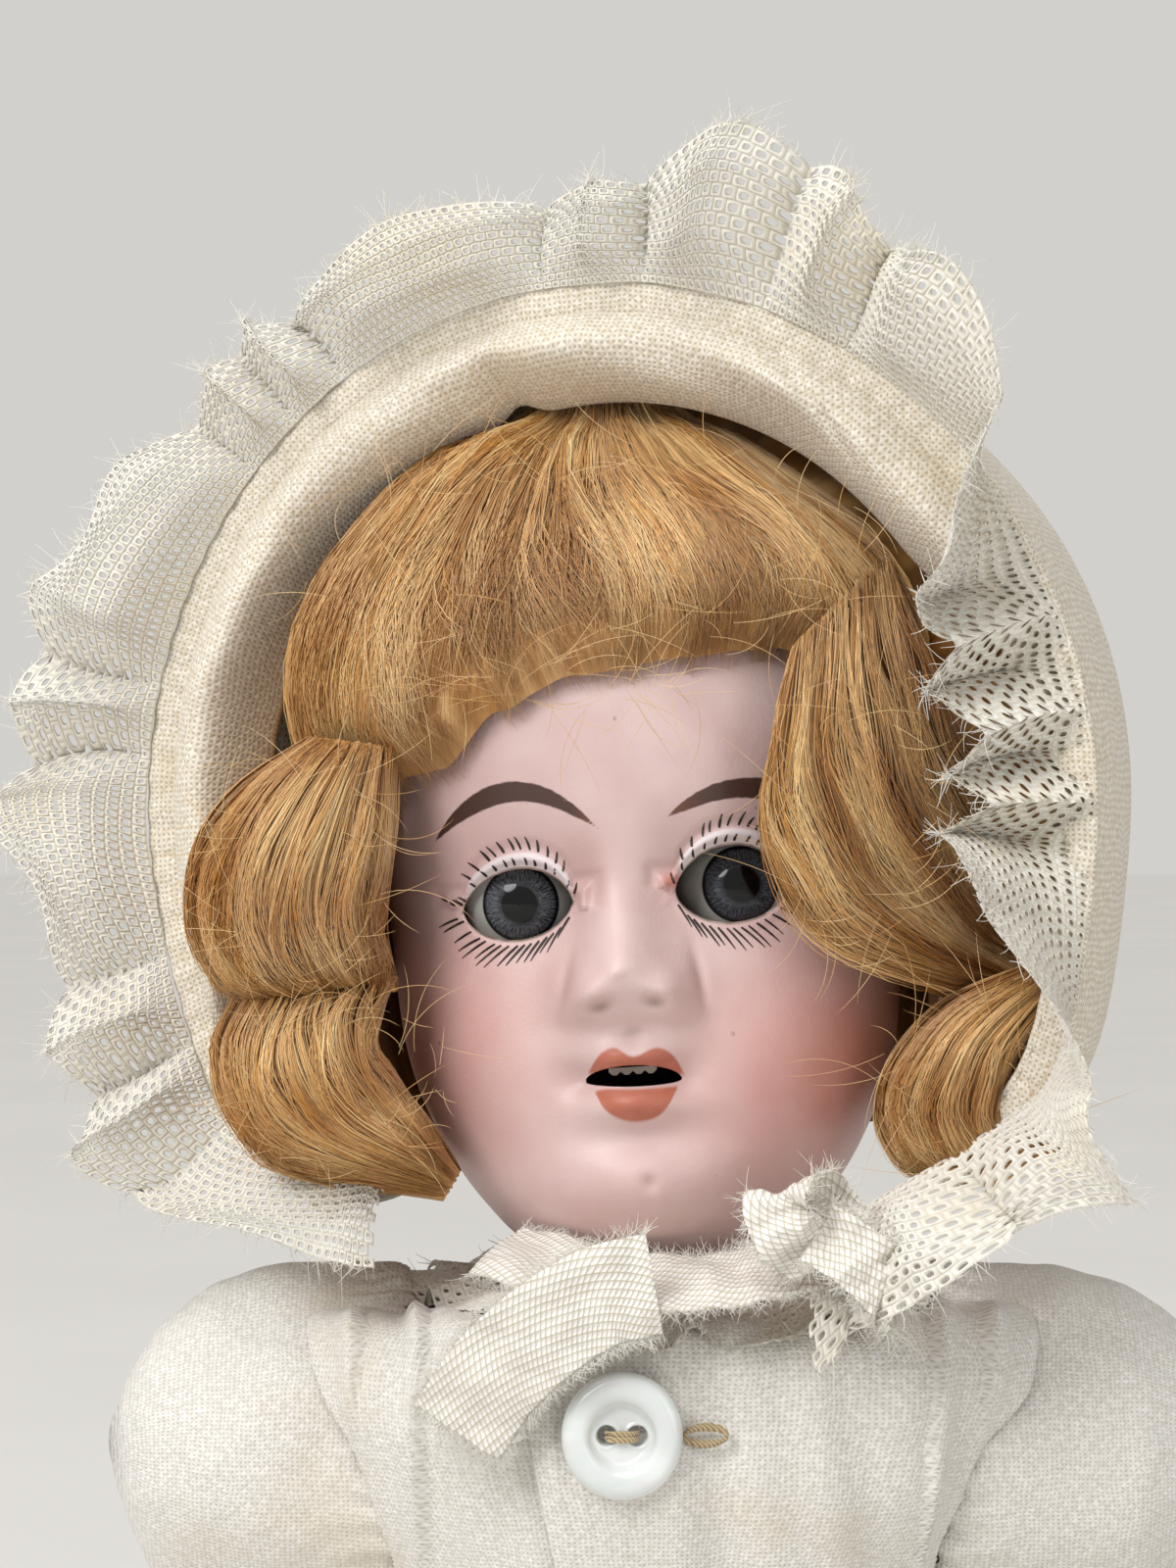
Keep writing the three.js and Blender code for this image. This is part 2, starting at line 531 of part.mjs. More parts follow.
// A point of a bonnet ring at an angle from its top; grow moves it outwards. The lower half is squarer.
const lowerSquareShare = 0.74;
function bonnetRing(size, angle, y, grow = 0) {
  const low = abs(angle) > PI / 2;
  const tall = low ? size.bottom : size.top;
  const square = low ? mix(1, lowerSquareShare, smooth(0.5 * PI, 0.7 * PI, abs(angle))) : 1;
  const [s, c] = [sin(angle), cos(angle)];
  const out = new THREE.Vector3(s / size.halfWidth, 0, c / tall).normalize();
  return new THREE.Vector3(size.halfWidth * bigger(s, square), y, tall * bigger(c, square))
    .addScaledVector(out, grow);
}
const bonnetAngle = (u, share = 1) => mix(-bonnetMouth.span, bonnetMouth.span, u) * share;

// Rows of [depth share, size share] from the bonnet's mouth to the middle of its back.
const bonnetRowShares = [[0, 1], [0.22, 1.04], [0.5, 1], [0.76, 0.78], [0.93, 0.44], [1, 0.06]];
function bonnetCrown(lift) {
  return (u, v) => {
    const [depth, size] = splineRow(bonnetRowShares, v * (bonnetRowShares.length - 1));
    const point = bonnetRing(bonnetMouth, bonnetAngle(u), 0, lift);
    const y = -bonnetMouth.forward + tape.thickness + gap + depth * bonnetMouth.depth;
    return new THREE.Vector3(point.x * size, y + lift * smooth(0.5, 1, depth), point.z * size);
  };
}
piece(bonnetGroup, "bonnet_crown",
  between(bonnetCrown(0), bonnetCrown(-bonnet.cloth), 18, 6), material.linen);

// The brim's lining rolls from the hair out to the tape; beside the curls it stays close to the tape.
function brimPoint(lift) {
  return (u, v) => {
    const angle = bonnetAngle(u);
    const beside = 0.85 * max(smooth(0.3 * PI, 0.5 * PI, angle), smooth(0.5 * PI, 0.62 * PI, -angle));
    const size = {};
    for (const key of ["halfWidth", "top", "bottom"]) {
      const outer = bonnetMouth[key] - bonnet.cloth - gap;
      size[key] = mix(mix(brim[key], outer, beside), outer, v);
    }
    const y = mix(-brim.forward, -bonnetMouth.forward - tape.thickness, v)
      - brim.roll * sin(PI * v) * (1 - beside);
    return bonnetRing(size, angle, y - lift);
  };
}
piece(bonnetGroup, "bonnet_brim", between(brimPoint(bonnet.cloth), brimPoint(0), 20, 3), material.linen);

const tapePoint = (lift) => (u, v) =>
  bonnetRing(bonnetMouth, bonnetAngle(u), -bonnetMouth.forward - lift, (v - 0.3) * tape.width);
piece(bonnetGroup, "bonnet_tape", between(tapePoint(tape.thickness), tapePoint(0), 20, 1), material.linen);

// The ruffle flares outwards over the top and the doll's right, and folds forwards and inwards on its left.
// It narrows towards its two ends, above the shoulders.
const ruffleFold = (angle) => mix(14 * degree, 112 * degree, smooth(0.22 * PI, 0.45 * PI, angle));
const ruffleEndShares = [[-0.8, 0.4], [-0.55, 1], [0.7, 1], [0.8, 0.7]];
function rufflePoint(lift) {
  return (u, v) => {
    const angle = bonnetAngle(u, 0.99);
    const fold = ruffleFold(angle);
    const wave = sin(u * ruffle.pleats * turn);
    const root = -bonnetMouth.forward - tape.thickness - 2 * gap;
    const start = bonnetRing(bonnetMouth, angle, root, tape.width * 0.5);
    const out = bonnetRing(bonnetMouth, angle, 0, 1).sub(bonnetRing(bonnetMouth, angle, 0));
    const along = out.clone().multiplyScalar(cos(fold)).add(new THREE.Vector3(0, -sin(fold), 0));
    const face = out.clone().multiplyScalar(-sin(fold)).add(new THREE.Vector3(0, -cos(fold), 0));
    const width = ruffle.width * table(ruffleEndShares, angle / PI) * (1 - 0.06 * abs(wave));
    const crest = ruffle.wave * smooth(0, 1, v) * (1 + wave);
    return start.addScaledVector(along, v * width).addScaledVector(face, crest + lift);
  };
}
const pleatSteps = 3;
piece(bonnetGroup, "bonnet_ruffle", between(rufflePoint(ruffle.thickness), rufflePoint(0),
  ruffle.pleats * pleatSteps, 2), material.lace);

// A flat strip that follows rows of [across, forward, rise, and the direction of its width].
function strip(rows, width, thickness, steps) {
  const side = (lift) => (u, v) => {
    const [at, from, to] = [0, -0.05, 0.05].map((step) =>
      splineRow(rows, min(rows.length - 1, max(0, u * (rows.length - 1) + step))));
    const along = new THREE.Vector3(to[0] - from[0], to[1] - from[1], to[2] - from[2]).normalize();
    const wide = new THREE.Vector3(...at.slice(3)).normalize();
    const normal = new THREE.Vector3().crossVectors(along, wide).normalize();
    return new THREE.Vector3(...at.slice(0, 3)).addScaledVector(wide, (v - 0.5) * width)
      .addScaledVector(normal, lift);
  };
  return between(side(thickness / 2), side(-thickness / 2), steps, 1);
}

// The white ribbon: its knot is at the doll's left, a band runs under the chin, and a tail crosses the dress.
// Its rows are shares of the ribbon's width: place, up from the neck's pivot, and the way its width lies.
const chinRowShares = [
  [1.55, -2.25, 0.555, -0.1, 0.75, 0.6], [0.85, -2.5, 0.355, 0, 0.7, 0.6], [0.1, -2.6, 0.225, 0, 0.7, 0.7],
  [-0.9, -2.45, 0.255, 0.1, 0.75, 0.6], [-1.9, -1.8, 0.505, 0.3, 0.8, 0.5],
];
const tailRowShares = [
  [-0.45, -3.05, 0.105, -1, 0, 0.08], [-0.72, -3.08, -0.195, -0.98, 0, 0.2],
  [-1.08, -2.98, -0.535, -0.94, 0, 0.32], [-1.48, -2.8, -0.915, -0.9, 0, 0.43],
  [-1.93, -2.55, -1.315, -0.85, 0, 0.53],
];
const ribbonRows = (shares) => shares.map(([across, front, up, ...wide]) => [
  across * ribbon.width, front * ribbon.width, neckPivot.rise + up * ribbon.width, ...wide]);
const ribbonStrip = (shares, steps) => strip(ribbonRows(shares), ribbon.width, ribbon.thickness, steps);
piece(doll, "chin_ribbon", ribbonStrip(chinRowShares, 10), material.ribbon);
piece(doll, "ribbon_tail", ribbonStrip(tailRowShares, 9), material.ribbon);
const knotPlace = new THREE.Vector3(...ribbonRows(chinRowShares)[0].slice(0, 3));
const knotTilt = 35 * degree;
const knotBody = new THREE.SphereGeometry(1, 12, 8)
  .scale(knot.length / 2, knot.depth / 2, knot.height / 2)
  .rotateY(-knotTilt)
  .translate(knotPlace.x, knotPlace.y - 0.42 * ribbon.width - knot.depth / 2 - 3 * gap,
    knotPlace.z - knot.height * 0.2);
piece(doll, "ribbon_knot", knotBody, material.ribbon);

// Torso

// Rows of [rise, half width, front, back] as shares of the torso's height, half width and depth.
const torsoRowShares = [
  [0, 0.7, 0.72, 0.9], [0.04, 0.8, 0.82, 0.98], [0.16, 0.82, 0.92, 1], [0.34, 0.76, 0.95, 0.88],
  [0.5, 0.7, 0.86, 0.74], [0.66, 0.73, 0.84, 0.8], [0.8, 0.79, 0.84, 0.84], [0.9, 0.84, 0.78, 0.76],
  [0.955, 0.62, 0.66, 0.6], [0.98, 0.52, 0.62, 0.54],
];
const torsoRows = torsoRowShares.map(([rise, width, front, back]) =>
  [rise * torso.height, width * torso.halfWidth, front * torso.depth, back * torso.depth]);
const rimShift = torso.centreBack - neckPivot.back;
torsoRows.push([torso.height, neckRim, neckRim + rimShift, neckRim - rimShift]);
const torsoRing = (steps, place, shrink) => {
  const [z, width, front, back] = splineRow(torsoRows, place);
  return ring(steps, z, width - shrink, front - shrink, back - shrink, torso.centreBack);
};
const torsoLast = torsoRows.length - 1;
const hollowPlaces = [3, 4, 5, 6, 6.6, torsoLast - 2.5];
const torsoBody = solid(loft(
  Array.from({ length: 12 }, (_, j) => torsoRing(14, (j / 11) * torsoLast, 0))));
const torsoHollow = solid(loft(hollowPlaces.map((place) => torsoRing(10, place, torso.wall))));
let torsoSolid = torsoBody.subtract(torsoHollow);
torsoSolid = torsoSolid.subtract(solid(ball(neck.radius + jointGap, 0, neckPivot.back, neckPivot.rise, 18)));
torsoSolid = torsoSolid.subtract(solid(rod(neck.bore, 2 * neck.radius, 12).rotateX(PI / 2)
  .translate(0, neckPivot.back, neckPivot.rise - 1.6 * neck.radius)));
const limbSides = [["right", -1], ["left", 1]];

// The space that a thigh sweeps from raised to standing, seen from the side: an arc over the hip and two
// straight runs, one forwards and up, one down.
function thighSweep(radius, reach) {
  const outline = new THREE.Shape();
  const top = PI / 2 - hip.raise;
  outline.moveTo(radius, -reach);
  outline.lineTo(radius, 0);
  outline.absarc(0, 0, radius, 0, top, false);
  const far = -radius - reach;
  outline.lineTo(far, radius * sin(top) + (radius * cos(top) - far) * Math.tan(hip.raise));
  outline.lineTo(far, -reach);
  return outline;
}
for (const [, side] of limbSides) {
  const cup = ball(shoulder.ballRadius + jointGap, side * shoulder.out, shoulder.back, shoulder.rise, 12);
  const bore = rod(elastic.bore, shoulder.out, 8).rotateZ(PI / 2)
    .translate(side * shoulder.out / 2, shoulder.back, shoulder.rise);
  const hipCup = ball(hip.ballRadius + jointGap, side * hip.out, -hip.front, hip.rise, 14);
  const legBore = rod(elastic.bore, 3 * hip.ballRadius, 8)
    .translate(0, 1.5 * hip.ballRadius, 0)
    .rotateX(PI / 2)
    .rotateY(-side * elastic.lean)
    .translate(side * hip.out, -hip.front, hip.rise);
  const sweepOutline = thighSweep(thigh.widest + 2 * gap, 3 * torso.depth);
  const sweepStyle = { depth: torso.halfWidth, bevelEnabled: false, curveSegments: 6 };
  const sweep = new THREE.ExtrudeGeometry(sweepOutline, sweepStyle)
    .rotateX(PI / 2)
    .rotateZ(PI / 2)
    .translate(side > 0 ? torso.crotch : -torso.crotch - torso.halfWidth, -hip.front, hip.rise);
  for (const cutter of [cup, bore, hipCup, legBore, sweep]) torsoSolid = torsoSolid.subtract(solid(cutter));
}
piece(doll, "torso", shape(torsoSolid), material.composition);

// Stringing elastics inside the torso: one from arm to arm, and one from each leg up through the hook's eye.
const armElasticHalf = shoulder.out - shoulder.ballRadius - 2 * gap;
piece(doll, "arm_elastic", rod(elastic.radius, 2 * armElasticHalf, 8).rotateZ(PI / 2)
  .translate(0, shoulder.back, shoulder.rise), material.rubber);
const hookEyeRise = neckPivot.rise - hook.drop - hook.eyeRadius;
const elasticArch = hookEyeRise - hook.eyeRadius + hook.wireRadius + elastic.radius + 4 * gap;
const elasticCrook = 0.6 * elastic.spread; // half of its level run through the eye
const elasticFoot = (side, y) => {
  const climb = hip.ballRadius + elastic.radius + gap;
  return [side * (hip.out - climb * sin(elastic.lean)), y, hip.rise + climb * cos(elastic.lean)];
};
const midRise = mix(hip.rise, hookEyeRise, 0.6);
const elasticPoints = [
  elasticFoot(-1, -hip.front), [-hip.out * 0.3, 0, midRise],
  [-elastic.spread * 0.1, shoulder.back - elastic.spread, shoulder.rise],
  [0, neckPivot.back - elasticCrook, elasticArch - gap], [0, neckPivot.back, elasticArch],
  [0, neckPivot.back + elasticCrook, elasticArch - gap],
  [elastic.spread * 0.1, shoulder.back + elastic.spread, shoulder.rise],
  [hip.out * 0.3, neckPivot.back, midRise], elasticFoot(1, -hip.front),
].map((p) => new THREE.Vector3(...p));
const elasticSection = new THREE.Shape().absarc(0, 0, elastic.radius, 0, turn, false);
piece(doll, "leg_elastic", new THREE.ExtrudeGeometry(elasticSection, {
  steps: 34, extrudePath: new THREE.CatmullRomCurve3(elasticPoints, false, "centripetal"), curveSegments: 3,
  bevelEnabled: false,
}), material.rubber);

// Arms

// A turned limb along -Z: a profile of [radius, drop] rows from its top end to its lower end.
function turned(rows, steps = 10) {
  const capped = [[0, rows[0][1]], ...rows, [0, rows.at(-1)[1]]];
  const profile = capped.map(([r, drop]) => new THREE.Vector2(r, -drop));
  return new THREE.LatheGeometry(profile.reverse(), steps).rotateX(PI / 2);
}

const armGroups = {};
for (const [name, side] of limbSides) {
  const arm = new THREE.Group();
  arm.position.set(side * shoulder.out, shoulder.back, shoulder.rise);
  arm.rotation.y = -side * upperArm.splay;
  doll.add(arm);
  const shaft = turned([
    [upperArm.topRadius, shoulder.ballRadius * 0.3], [upperArm.topRadius, upperArm.length * 0.45],
    [upperArm.endRadius, upperArm.length - jointSpace.elbow],
  ]);
  const upper = solid(ball(shoulder.ballRadius, 0, 0, 0, 12)).add(solid(shaft))
    .subtract(solid(ball(elbow.radius + jointGap, 0, 0, -upperArm.length, 10)));
  piece(arm, "upper_arm_" + name, shape(upper), material.composition);
  const elbowGroup = new THREE.Group();
  elbowGroup.position.z = -upperArm.length;
  arm.add(elbowGroup);
  piece(elbowGroup, "elbow_ball_" + name, ball(elbow.radius, 0, 0, 0, 10), material.wood);
  const lower = new THREE.Group();
  lower.rotation.x = -elbow.bend;
  elbowGroup.add(lower);
  const foreShape = turned([
    [upperArm.endRadius, jointSpace.elbow], [foreArm.topRadius, elbow.radius * 1.7],
    [foreArm.endRadius, foreArm.length * 0.9], [foreArm.endRadius, foreArm.length],
  ]);
  const wristDrop = foreArm.length + hand.ballRadius * 0.4;
  const fore = solid(foreShape).subtract(solid(ball(elbow.radius + jointGap, 0, 0, 0, 10)))
    .subtract(solid(ball(hand.ballRadius + jointGap, 0, 0, -wristDrop, 10)));
  piece(lower, "forearm_" + name, shape(fore), material.composition);
  const wrist = new THREE.Group();
  wrist.position.z = -wristDrop;
  lower.add(wrist);
  // The hand is cupped a little: a palm that runs into four fingers held together, and a thumb.
  const palm = solid(loft(palmShares.map(([drop, wide, thick]) => Array.from({ length: 8 }, (_, i) =>
    new THREE.Vector3(
      (wide * hand.width * sin((i / 8) * turn)) / 2,
      (thick * hand.thickness * cos((i / 8) * turn)) / 2 - 0.45 * hand.thickness * drop ** 2,
      -drop * hand.length)))));
  const thumb = solid(new THREE.CapsuleGeometry(hand.width * 0.15, hand.length * 0.4, 2, 6)
    .rotateX(PI / 2)
    .rotateY(-side * hand.thumbSplay)
    .translate(-side * hand.width * 0.42, -hand.thickness * 0.3, -hand.length * 0.45));
  const handSolid = palm.add(thumb).add(solid(ball(hand.ballRadius, 0, 0, 0, 8)));
  piece(wrist, "hand_" + name, shape(handSolid), material.composition);
  const cuffWall = (radius) => (u, v) => new THREE.Vector3(
    radius * cos(u * turn), radius * sin(u * turn), -foreArm.length + cuff.width * (v + 0.1));
  const cuffInner = foreArm.topRadius + gap;
  piece(lower, "cuff_" + name, between(cuffWall(cuffInner + cuff.wall), cuffWall(cuffInner), 12, 1, true),
    material.linen);
  armGroups[name] = { elbowGroup, lower };
}

// Sleeves: a puffed head that is round about the shoulder's axis, then a tube that follows the bent arm.
const tubeSteps = 10;
function tubeRings(path, endDirection, side, shrink) {
  const radii = [
    [0, sleeve.tubeRadius * 1.1], [0.3, sleeve.tubeRadius * 1.06],
    [0.6, sleeve.tubeRadius * 0.95], [1, sleeve.endRadius],
  ];
  const rows = [0, 0.2, 0.4, 0.55, 0.68, 0.84, 1];
  return rows.map((t) => {
    const at = path.getPoint(t);
    const along = t === 1 ? endDirection : path.getTangent(t);
    const wide = new THREE.Vector3(side, 0, 0).addScaledVector(along, -side * along.x).normalize();
    const deep = new THREE.Vector3().crossVectors(along, wide).normalize();
    const radius = table(radii, t) - shrink;
    return Array.from({ length: tubeSteps }, (_, i) => at.clone()
      .addScaledVector(wide, radius * cos((i / tubeSteps) * turn))
      .addScaledVector(deep, radius * sin((i / tubeSteps) * turn)));
  });
}
const puffShares = [[0, 0.8], [0.14, 0.94], [0.4, 1], [0.66, 0.92], [0.88, 0.62], [1, 0.16]];
function sleevePuff(side, shrink) {
  return solid(loft(puffShares.map(([out, share]) => Array.from({ length: 12 }, (_, i) => new THREE.Vector3(
    side * (mix(sleeve.inner, sleeve.outer, out) + (out > 0.5 ? -shrink : shrink)),
    shoulder.back + max(share * sleeve.puffRadius - shrink, gap) * cos((i / 12) * turn),
    shoulder.rise + max(share * sleeve.puffRadius - shrink, gap) * sin((i / 12) * turn))))));
}
doll.updateMatrixWorld(true);
for (const [name, side] of limbSides) {
  const { elbowGroup, lower } = armGroups[name];
  const cuffTop = new THREE.Vector3(0, 0, -foreArm.length + cuff.width * 1.1 + gap)
    .applyMatrix4(lower.matrixWorld);
  const cuffDirection = new THREE.Vector3(0, 0, -1).transformDirection(lower.matrixWorld);
  const elbowPlace = new THREE.Vector3().setFromMatrixPosition(elbowGroup.matrixWorld);
  const path = new THREE.CatmullRomCurve3([
    new THREE.Vector3(side * sleeve.puffOut, shoulder.back, shoulder.rise),
    new THREE.Vector3(side * (shoulder.out + shoulder.ballRadius * 1.15), shoulder.back,
      mix(shoulder.rise, elbowPlace.z, 0.5)),
    elbowPlace, elbowPlace.clone().lerp(cuffTop, 0.5), cuffTop,
  ]);
  const outer = sleevePuff(side, 0).add(solid(loft(tubeRings(path, cuffDirection, side, 0))));
  const hollow = sleevePuff(side, sleeve.wall)
    .add(solid(loft(tubeRings(path, cuffDirection, side, sleeve.wall))));
  const mouthRadius = sleeve.puffRadius * puffShares[0][1] - sleeve.wall;
  const mouthCutter = solid(rod(mouthRadius, 2 * overrun + 2 * sleeve.wall, 12).rotateZ(PI / 2)
    .translate(side * sleeve.inner, shoulder.back, shoulder.rise));
  const endCutter = solid(rod(sleeve.endRadius - sleeve.wall, 3 * overrun, tubeSteps)
    .applyQuaternion(new THREE.Quaternion().setFromUnitVectors(new THREE.Vector3(0, 1, 0), cuffDirection))
    .translate(...cuffTop));
  const made = outer.subtract(hollow).subtract(mouthCutter).subtract(endCutter);
  piece(doll, "sleeve_" + name, shape(made), material.linen);
}

// Legs, straight out in front

// Rows of [reach, half width, height] of the foot, from behind the heel to the toe.
const footShares = [
  [-0.3, 0.3, 0.5], [-0.2, 0.8, 0.9], [0, 0.86, 1], [0.25, 0.92, 0.85], [0.5, 1, 0.62],
  [0.62, 0.8, 0.52], [0.7, 0.3, 0.3],
];
const soleDrop = shin.length + foot.height * 0.75;
const ankleRise = foot.height * 0.12;
function footRings(grown, thick = 0) {
  return footShares.map(([share, wide, high], k) => {
    const end = k === 0 ? -grown : k === footShares.length - 1 ? grown : 0;
    return Array.from({ length: 10 }, (_, i) => {
      const a = (i / 10) * turn;
      const up = cos(a) > 0 ? cos(a) * (high * foot.height + grown) : cos(a) * (ankleRise + grown + thick);
      return new THREE.Vector3(
        ((wide * foot.width) / 2 + grown) * sin(a), -share * foot.length - end, -soleDrop + ankleRise + up);
    });
  });
}
const legRows = (grown) => [
  [knee.radius * 0.86 + grown, jointSpace.knee], [shin.topRadius + grown, knee.radius * 1.7],
  [shin.calfRadius + grown, shin.length * 0.38], [shin.ankleRadius + grown, shin.length * 0.85],
  [shin.ankleRadius + grown, shin.length],
];
for (const [name, side] of limbSides) {
  const leg = new THREE.Group();
  leg.position.set(side * hip.out, -hip.front, hip.rise);
  leg.rotation.x = -PI / 2;
  doll.add(leg);
  const thighShape = turned([
    [thigh.topRadius, hip.ballRadius * 0.3], [thigh.widest, thigh.length * 0.35],
    [thigh.topRadius * 0.9, thigh.length * 0.75], [thigh.endRadius, thigh.length - jointSpace.knee],
  ], 12);
  const thighSolid = solid(thighShape).add(solid(ball(hip.ballRadius, 0, 0, 0, 12)))
    .subtract(solid(ball(knee.radius + jointGap, 0, 0, -thigh.length, 12)));
  piece(leg, "thigh_" + name, shape(thighSolid), material.composition);
  const lowerLeg = new THREE.Group();
  lowerLeg.position.z = -thigh.length;
  leg.add(lowerLeg);
  piece(lowerLeg, "knee_ball_" + name, ball(knee.radius, 0, 0, 0, 12), material.wood);
  const bareLeg = solid(turned(legRows(0), 12)).subtract(solid(ball(knee.radius + jointGap, 0, 0, 0, 12)));
  piece(lowerLeg, "lower_leg_" + name, shape(bareLeg.add(solid(loft(footRings(0))))), material.composition);
  // The sock's tube ends where the shoe begins.
  const sockTop = shin.length - sock.height;
  const sockBottom = soleDrop - ankleRise - foot.height;
  const sockRange = solid(block(foot.length * 2, foot.length * 2, sockBottom - sockTop)
    .translate(0, 0, -(sockBottom + sockTop) / 2));
  const sockSolid = solid(turned(legRows(gap + sock.thickness), 12)).intersect(sockRange)
    .subtract(solid(turned(legRows(gap), 12)))
    .subtract(solid(loft(footRings(2 * gap + shoe.wall))));
  piece(lowerLeg, "sock_" + name, shape(sockSolid), material.linen);
  const shoeRange = solid(block(foot.length * 2, foot.length * 2, foot.length)
    .translate(0, 0, -soleDrop + ankleRise + shoe.rim - foot.length / 2));
  const shoeSolid = solid(loft(footRings(gap + shoe.wall, shoe.sole))).intersect(shoeRange)
    .subtract(solid(loft(footRings(gap))));
  piece(lowerLeg, "shoe_" + name, shape(shoeSolid), material.leather);
  // The strap crosses the instep above the shoe's rim.
  const strapRange = solid(block(foot.length, strap.width, foot.height)
    .translate(0, -strap.forward, -soleDrop + ankleRise + shoe.rim + gap + foot.height / 2));
  const strapSolid = solid(loft(footRings(gap + strap.thickness))).subtract(solid(loft(footRings(gap))))
    .intersect(strapRange);
  piece(lowerLeg, "shoe_strap_" + name, shape(strapSolid), material.leather);
}

// Dress

// Rows of [rise, half width, front, back] of the bodice, from the waist to the top of the shoulders.
const bodiceRowShares = [
  [0, 0.585, 0.77, 0.8], [0.22, 0.6, 0.85, 0.84], [0.41, 0.76, 0.94, 0.92], [0.63, 0.93, 1, 0.98],
  [0.8, 1, 0.98, 0.96], [0.925, 0.975, 0.925, 0.9], [0.965, 0.8, 0.8, 0.8],
];
const neckline = [bodice.topRise - bodice.neckDrop, bodice.neckRadius, bodice.neckRadius, bodice.neckRadius];
const bodiceRows = bodiceRowShares.map(([rise, width, front, back]) => [
  mix(bodice.waistRise, bodice.topRise, rise),
  width * bodice.halfWidth, front * bodice.front, back * bodice.back]);
bodiceRows.push(neckline);
const dressMiddle = neckPivot.back;
function bodicePoint(fromAngle, toAngle, lift) {
  return (u, v) => {
    const angle = mix(fromAngle, toAngle, u);
    const [z, width, front, back] = splineRow(bodiceRows, v * (bodiceRows.length - 1));
    const reach = cos(angle) > 0 ? front : back;
    return new THREE.Vector3((width + lift) * sin(angle), dressMiddle - (reach + lift) * cos(angle),
      z + lift * smooth(0.62, 0.9, v));
  };
}
const bodicePiece = (from, to, steps) => {
  let made = solid(between(bodicePoint(from, to, 0), bodicePoint(from, to, -cloth), steps, 8));
  for (const [, side] of limbSides)
    made = made.subtract(solid(rod(armhole.radius, armhole.inner, 16).rotateZ(PI / 2)
      .translate(side * (armhole.inner * 1.5), shoulder.back, shoulder.rise)));
  return shape(made);
};
const sideSeam = 0.5 * PI;
const frontSplit = -0.1 * PI; // the closing edge lies towards the doll's right
const seam = 0.004 * PI;
piece(doll, "bodice_front_right", bodicePiece(-sideSeam + seam, frontSplit - seam, 8), material.linen);
piece(doll, "bodice_front_left", bodicePiece(frontSplit + seam, sideSeam - seam, 11), material.linen);
piece(doll, "bodice_back", bodicePiece(sideSeam + seam, turn - sideSeam - seam, 11), material.linen);

// Lace collar: a waved ring that stands up round the neck and falls outwards onto the shoulders.
const shoulderRise = bodiceRows.at(-2)[0];
function collarPoint(lift) {
  return (u, v) => {
    const angle = u * turn;
    const radius = bodice.neckRadius - 0.6 + v * collar.width;
    const wave = collar.rise * sin(angle * collar.waves) * v;
    return new THREE.Vector3(radius * sin(angle), dressMiddle - radius * cos(angle),
      shoulderRise + collar.rise + 2 * gap + collar.stand * (1 - v) ** 2 + wave + lift);
  };
}
piece(doll, "collar_lace", between(collarPoint(collar.thickness), collarPoint(0), collar.waves * 3, 1, true),
  material.lace);

// Shell button with a dished middle and two thread holes
const [, , buttonReach] = splineRow(bodiceRows,
  placeAtRise(button.rise, bodiceRows, 0, bodiceRowShares.length - 1));
const buttonFront = dressMiddle - buttonReach - gap;
const buttonShares = [
  [0, 0], [0.86, 0], [1, 0.28], [0.98, 0.68], [0.84, 0.98], [0.68, 0.98], [0.54, 0.7],
  [0.44, 0.42], [0, 0.36],
];
const disc = solid(new THREE.LatheGeometry(
  buttonShares.map(([r, h]) => new THREE.Vector2(r * button.radius, h * button.thickness)), 18));
const threadHoles = [-1, 1].map((k) => solid(rod(button.holeRadius, 4 * button.thickness, 8)
  .translate(k * button.holeSpacing, 0, 0)));
const onChest = (geometry) => geometry.rotateX(PI).translate(button.out, buttonFront, button.rise);
piece(doll, "front_button", onChest(shape(threadHoles.reduce((made, hole) => made.subtract(hole), disc))),
  material.shell);
const threadRadius = button.holeRadius - gap;
const threadTop = button.thickness * 0.42 + threadRadius + gap;
const threadBridge = rod(threadRadius, 2 * button.holeSpacing, 6).rotateZ(PI / 2).translate(0, threadTop, 0);
const threadLegs = [-1, 1].map((k) => solid(rod(threadRadius, threadTop, 6)
  .translate(k * button.holeSpacing, threadTop / 2, 0)));
piece(doll, "button_thread", onChest(shape(threadLegs.reduce((made, l) => made.add(l), solid(threadBridge)))),
  material.linen);

// Skirt: it leaves the waist, lies over the legs in front and falls to the seat plane elsewhere.
const legSide = hip.out + thigh.widest;
function skirtPoint(lift) {
  return (u, v) => {
    const angle = u * turn;
    const [s, c] = [sin(angle), cos(angle)];
    const [waistRise, waistWidth, waistFront, waistBack] = bodiceRows[0];
    const spread = v ** 1.25;
    const x = mix(waistWidth * s, skirt.halfSpread * bigger(s, 0.62), spread);
    const y = mix(dressMiddle - (c > 0 ? waistFront : waistBack) * c,
      -(c > 0 ? skirt.length : skirt.backSpread) * bigger(c, 0.72), spread);
    const overLegs = smooth(2 * legSide, legSide + cloth, abs(x)) * smooth(waistBack / 2, 0, y);
    const ground = mix(skirt.hemRise + cloth, skirt.overLegs, overLegs);
    const ripple = skirt.fold * sin(angle * skirt.folds) * smooth(0.1, 1, v);
    const z = mix(ground, waistRise - gap, (1 - v) ** 2.4);
    return new THREE.Vector3(
      x + s * (ripple * (1 - overLegs) + lift),
      y - c * (ripple * (1 - overLegs) + lift),
      z + overLegs * smooth(0, 0.3, v) * (lift + 0.5 * ripple + 0.5 * skirt.fold));
  };
}
piece(doll, "skirt", between(skirtPoint(0), skirtPoint(-cloth), 45, 4, true), material.linen);

export default doll;
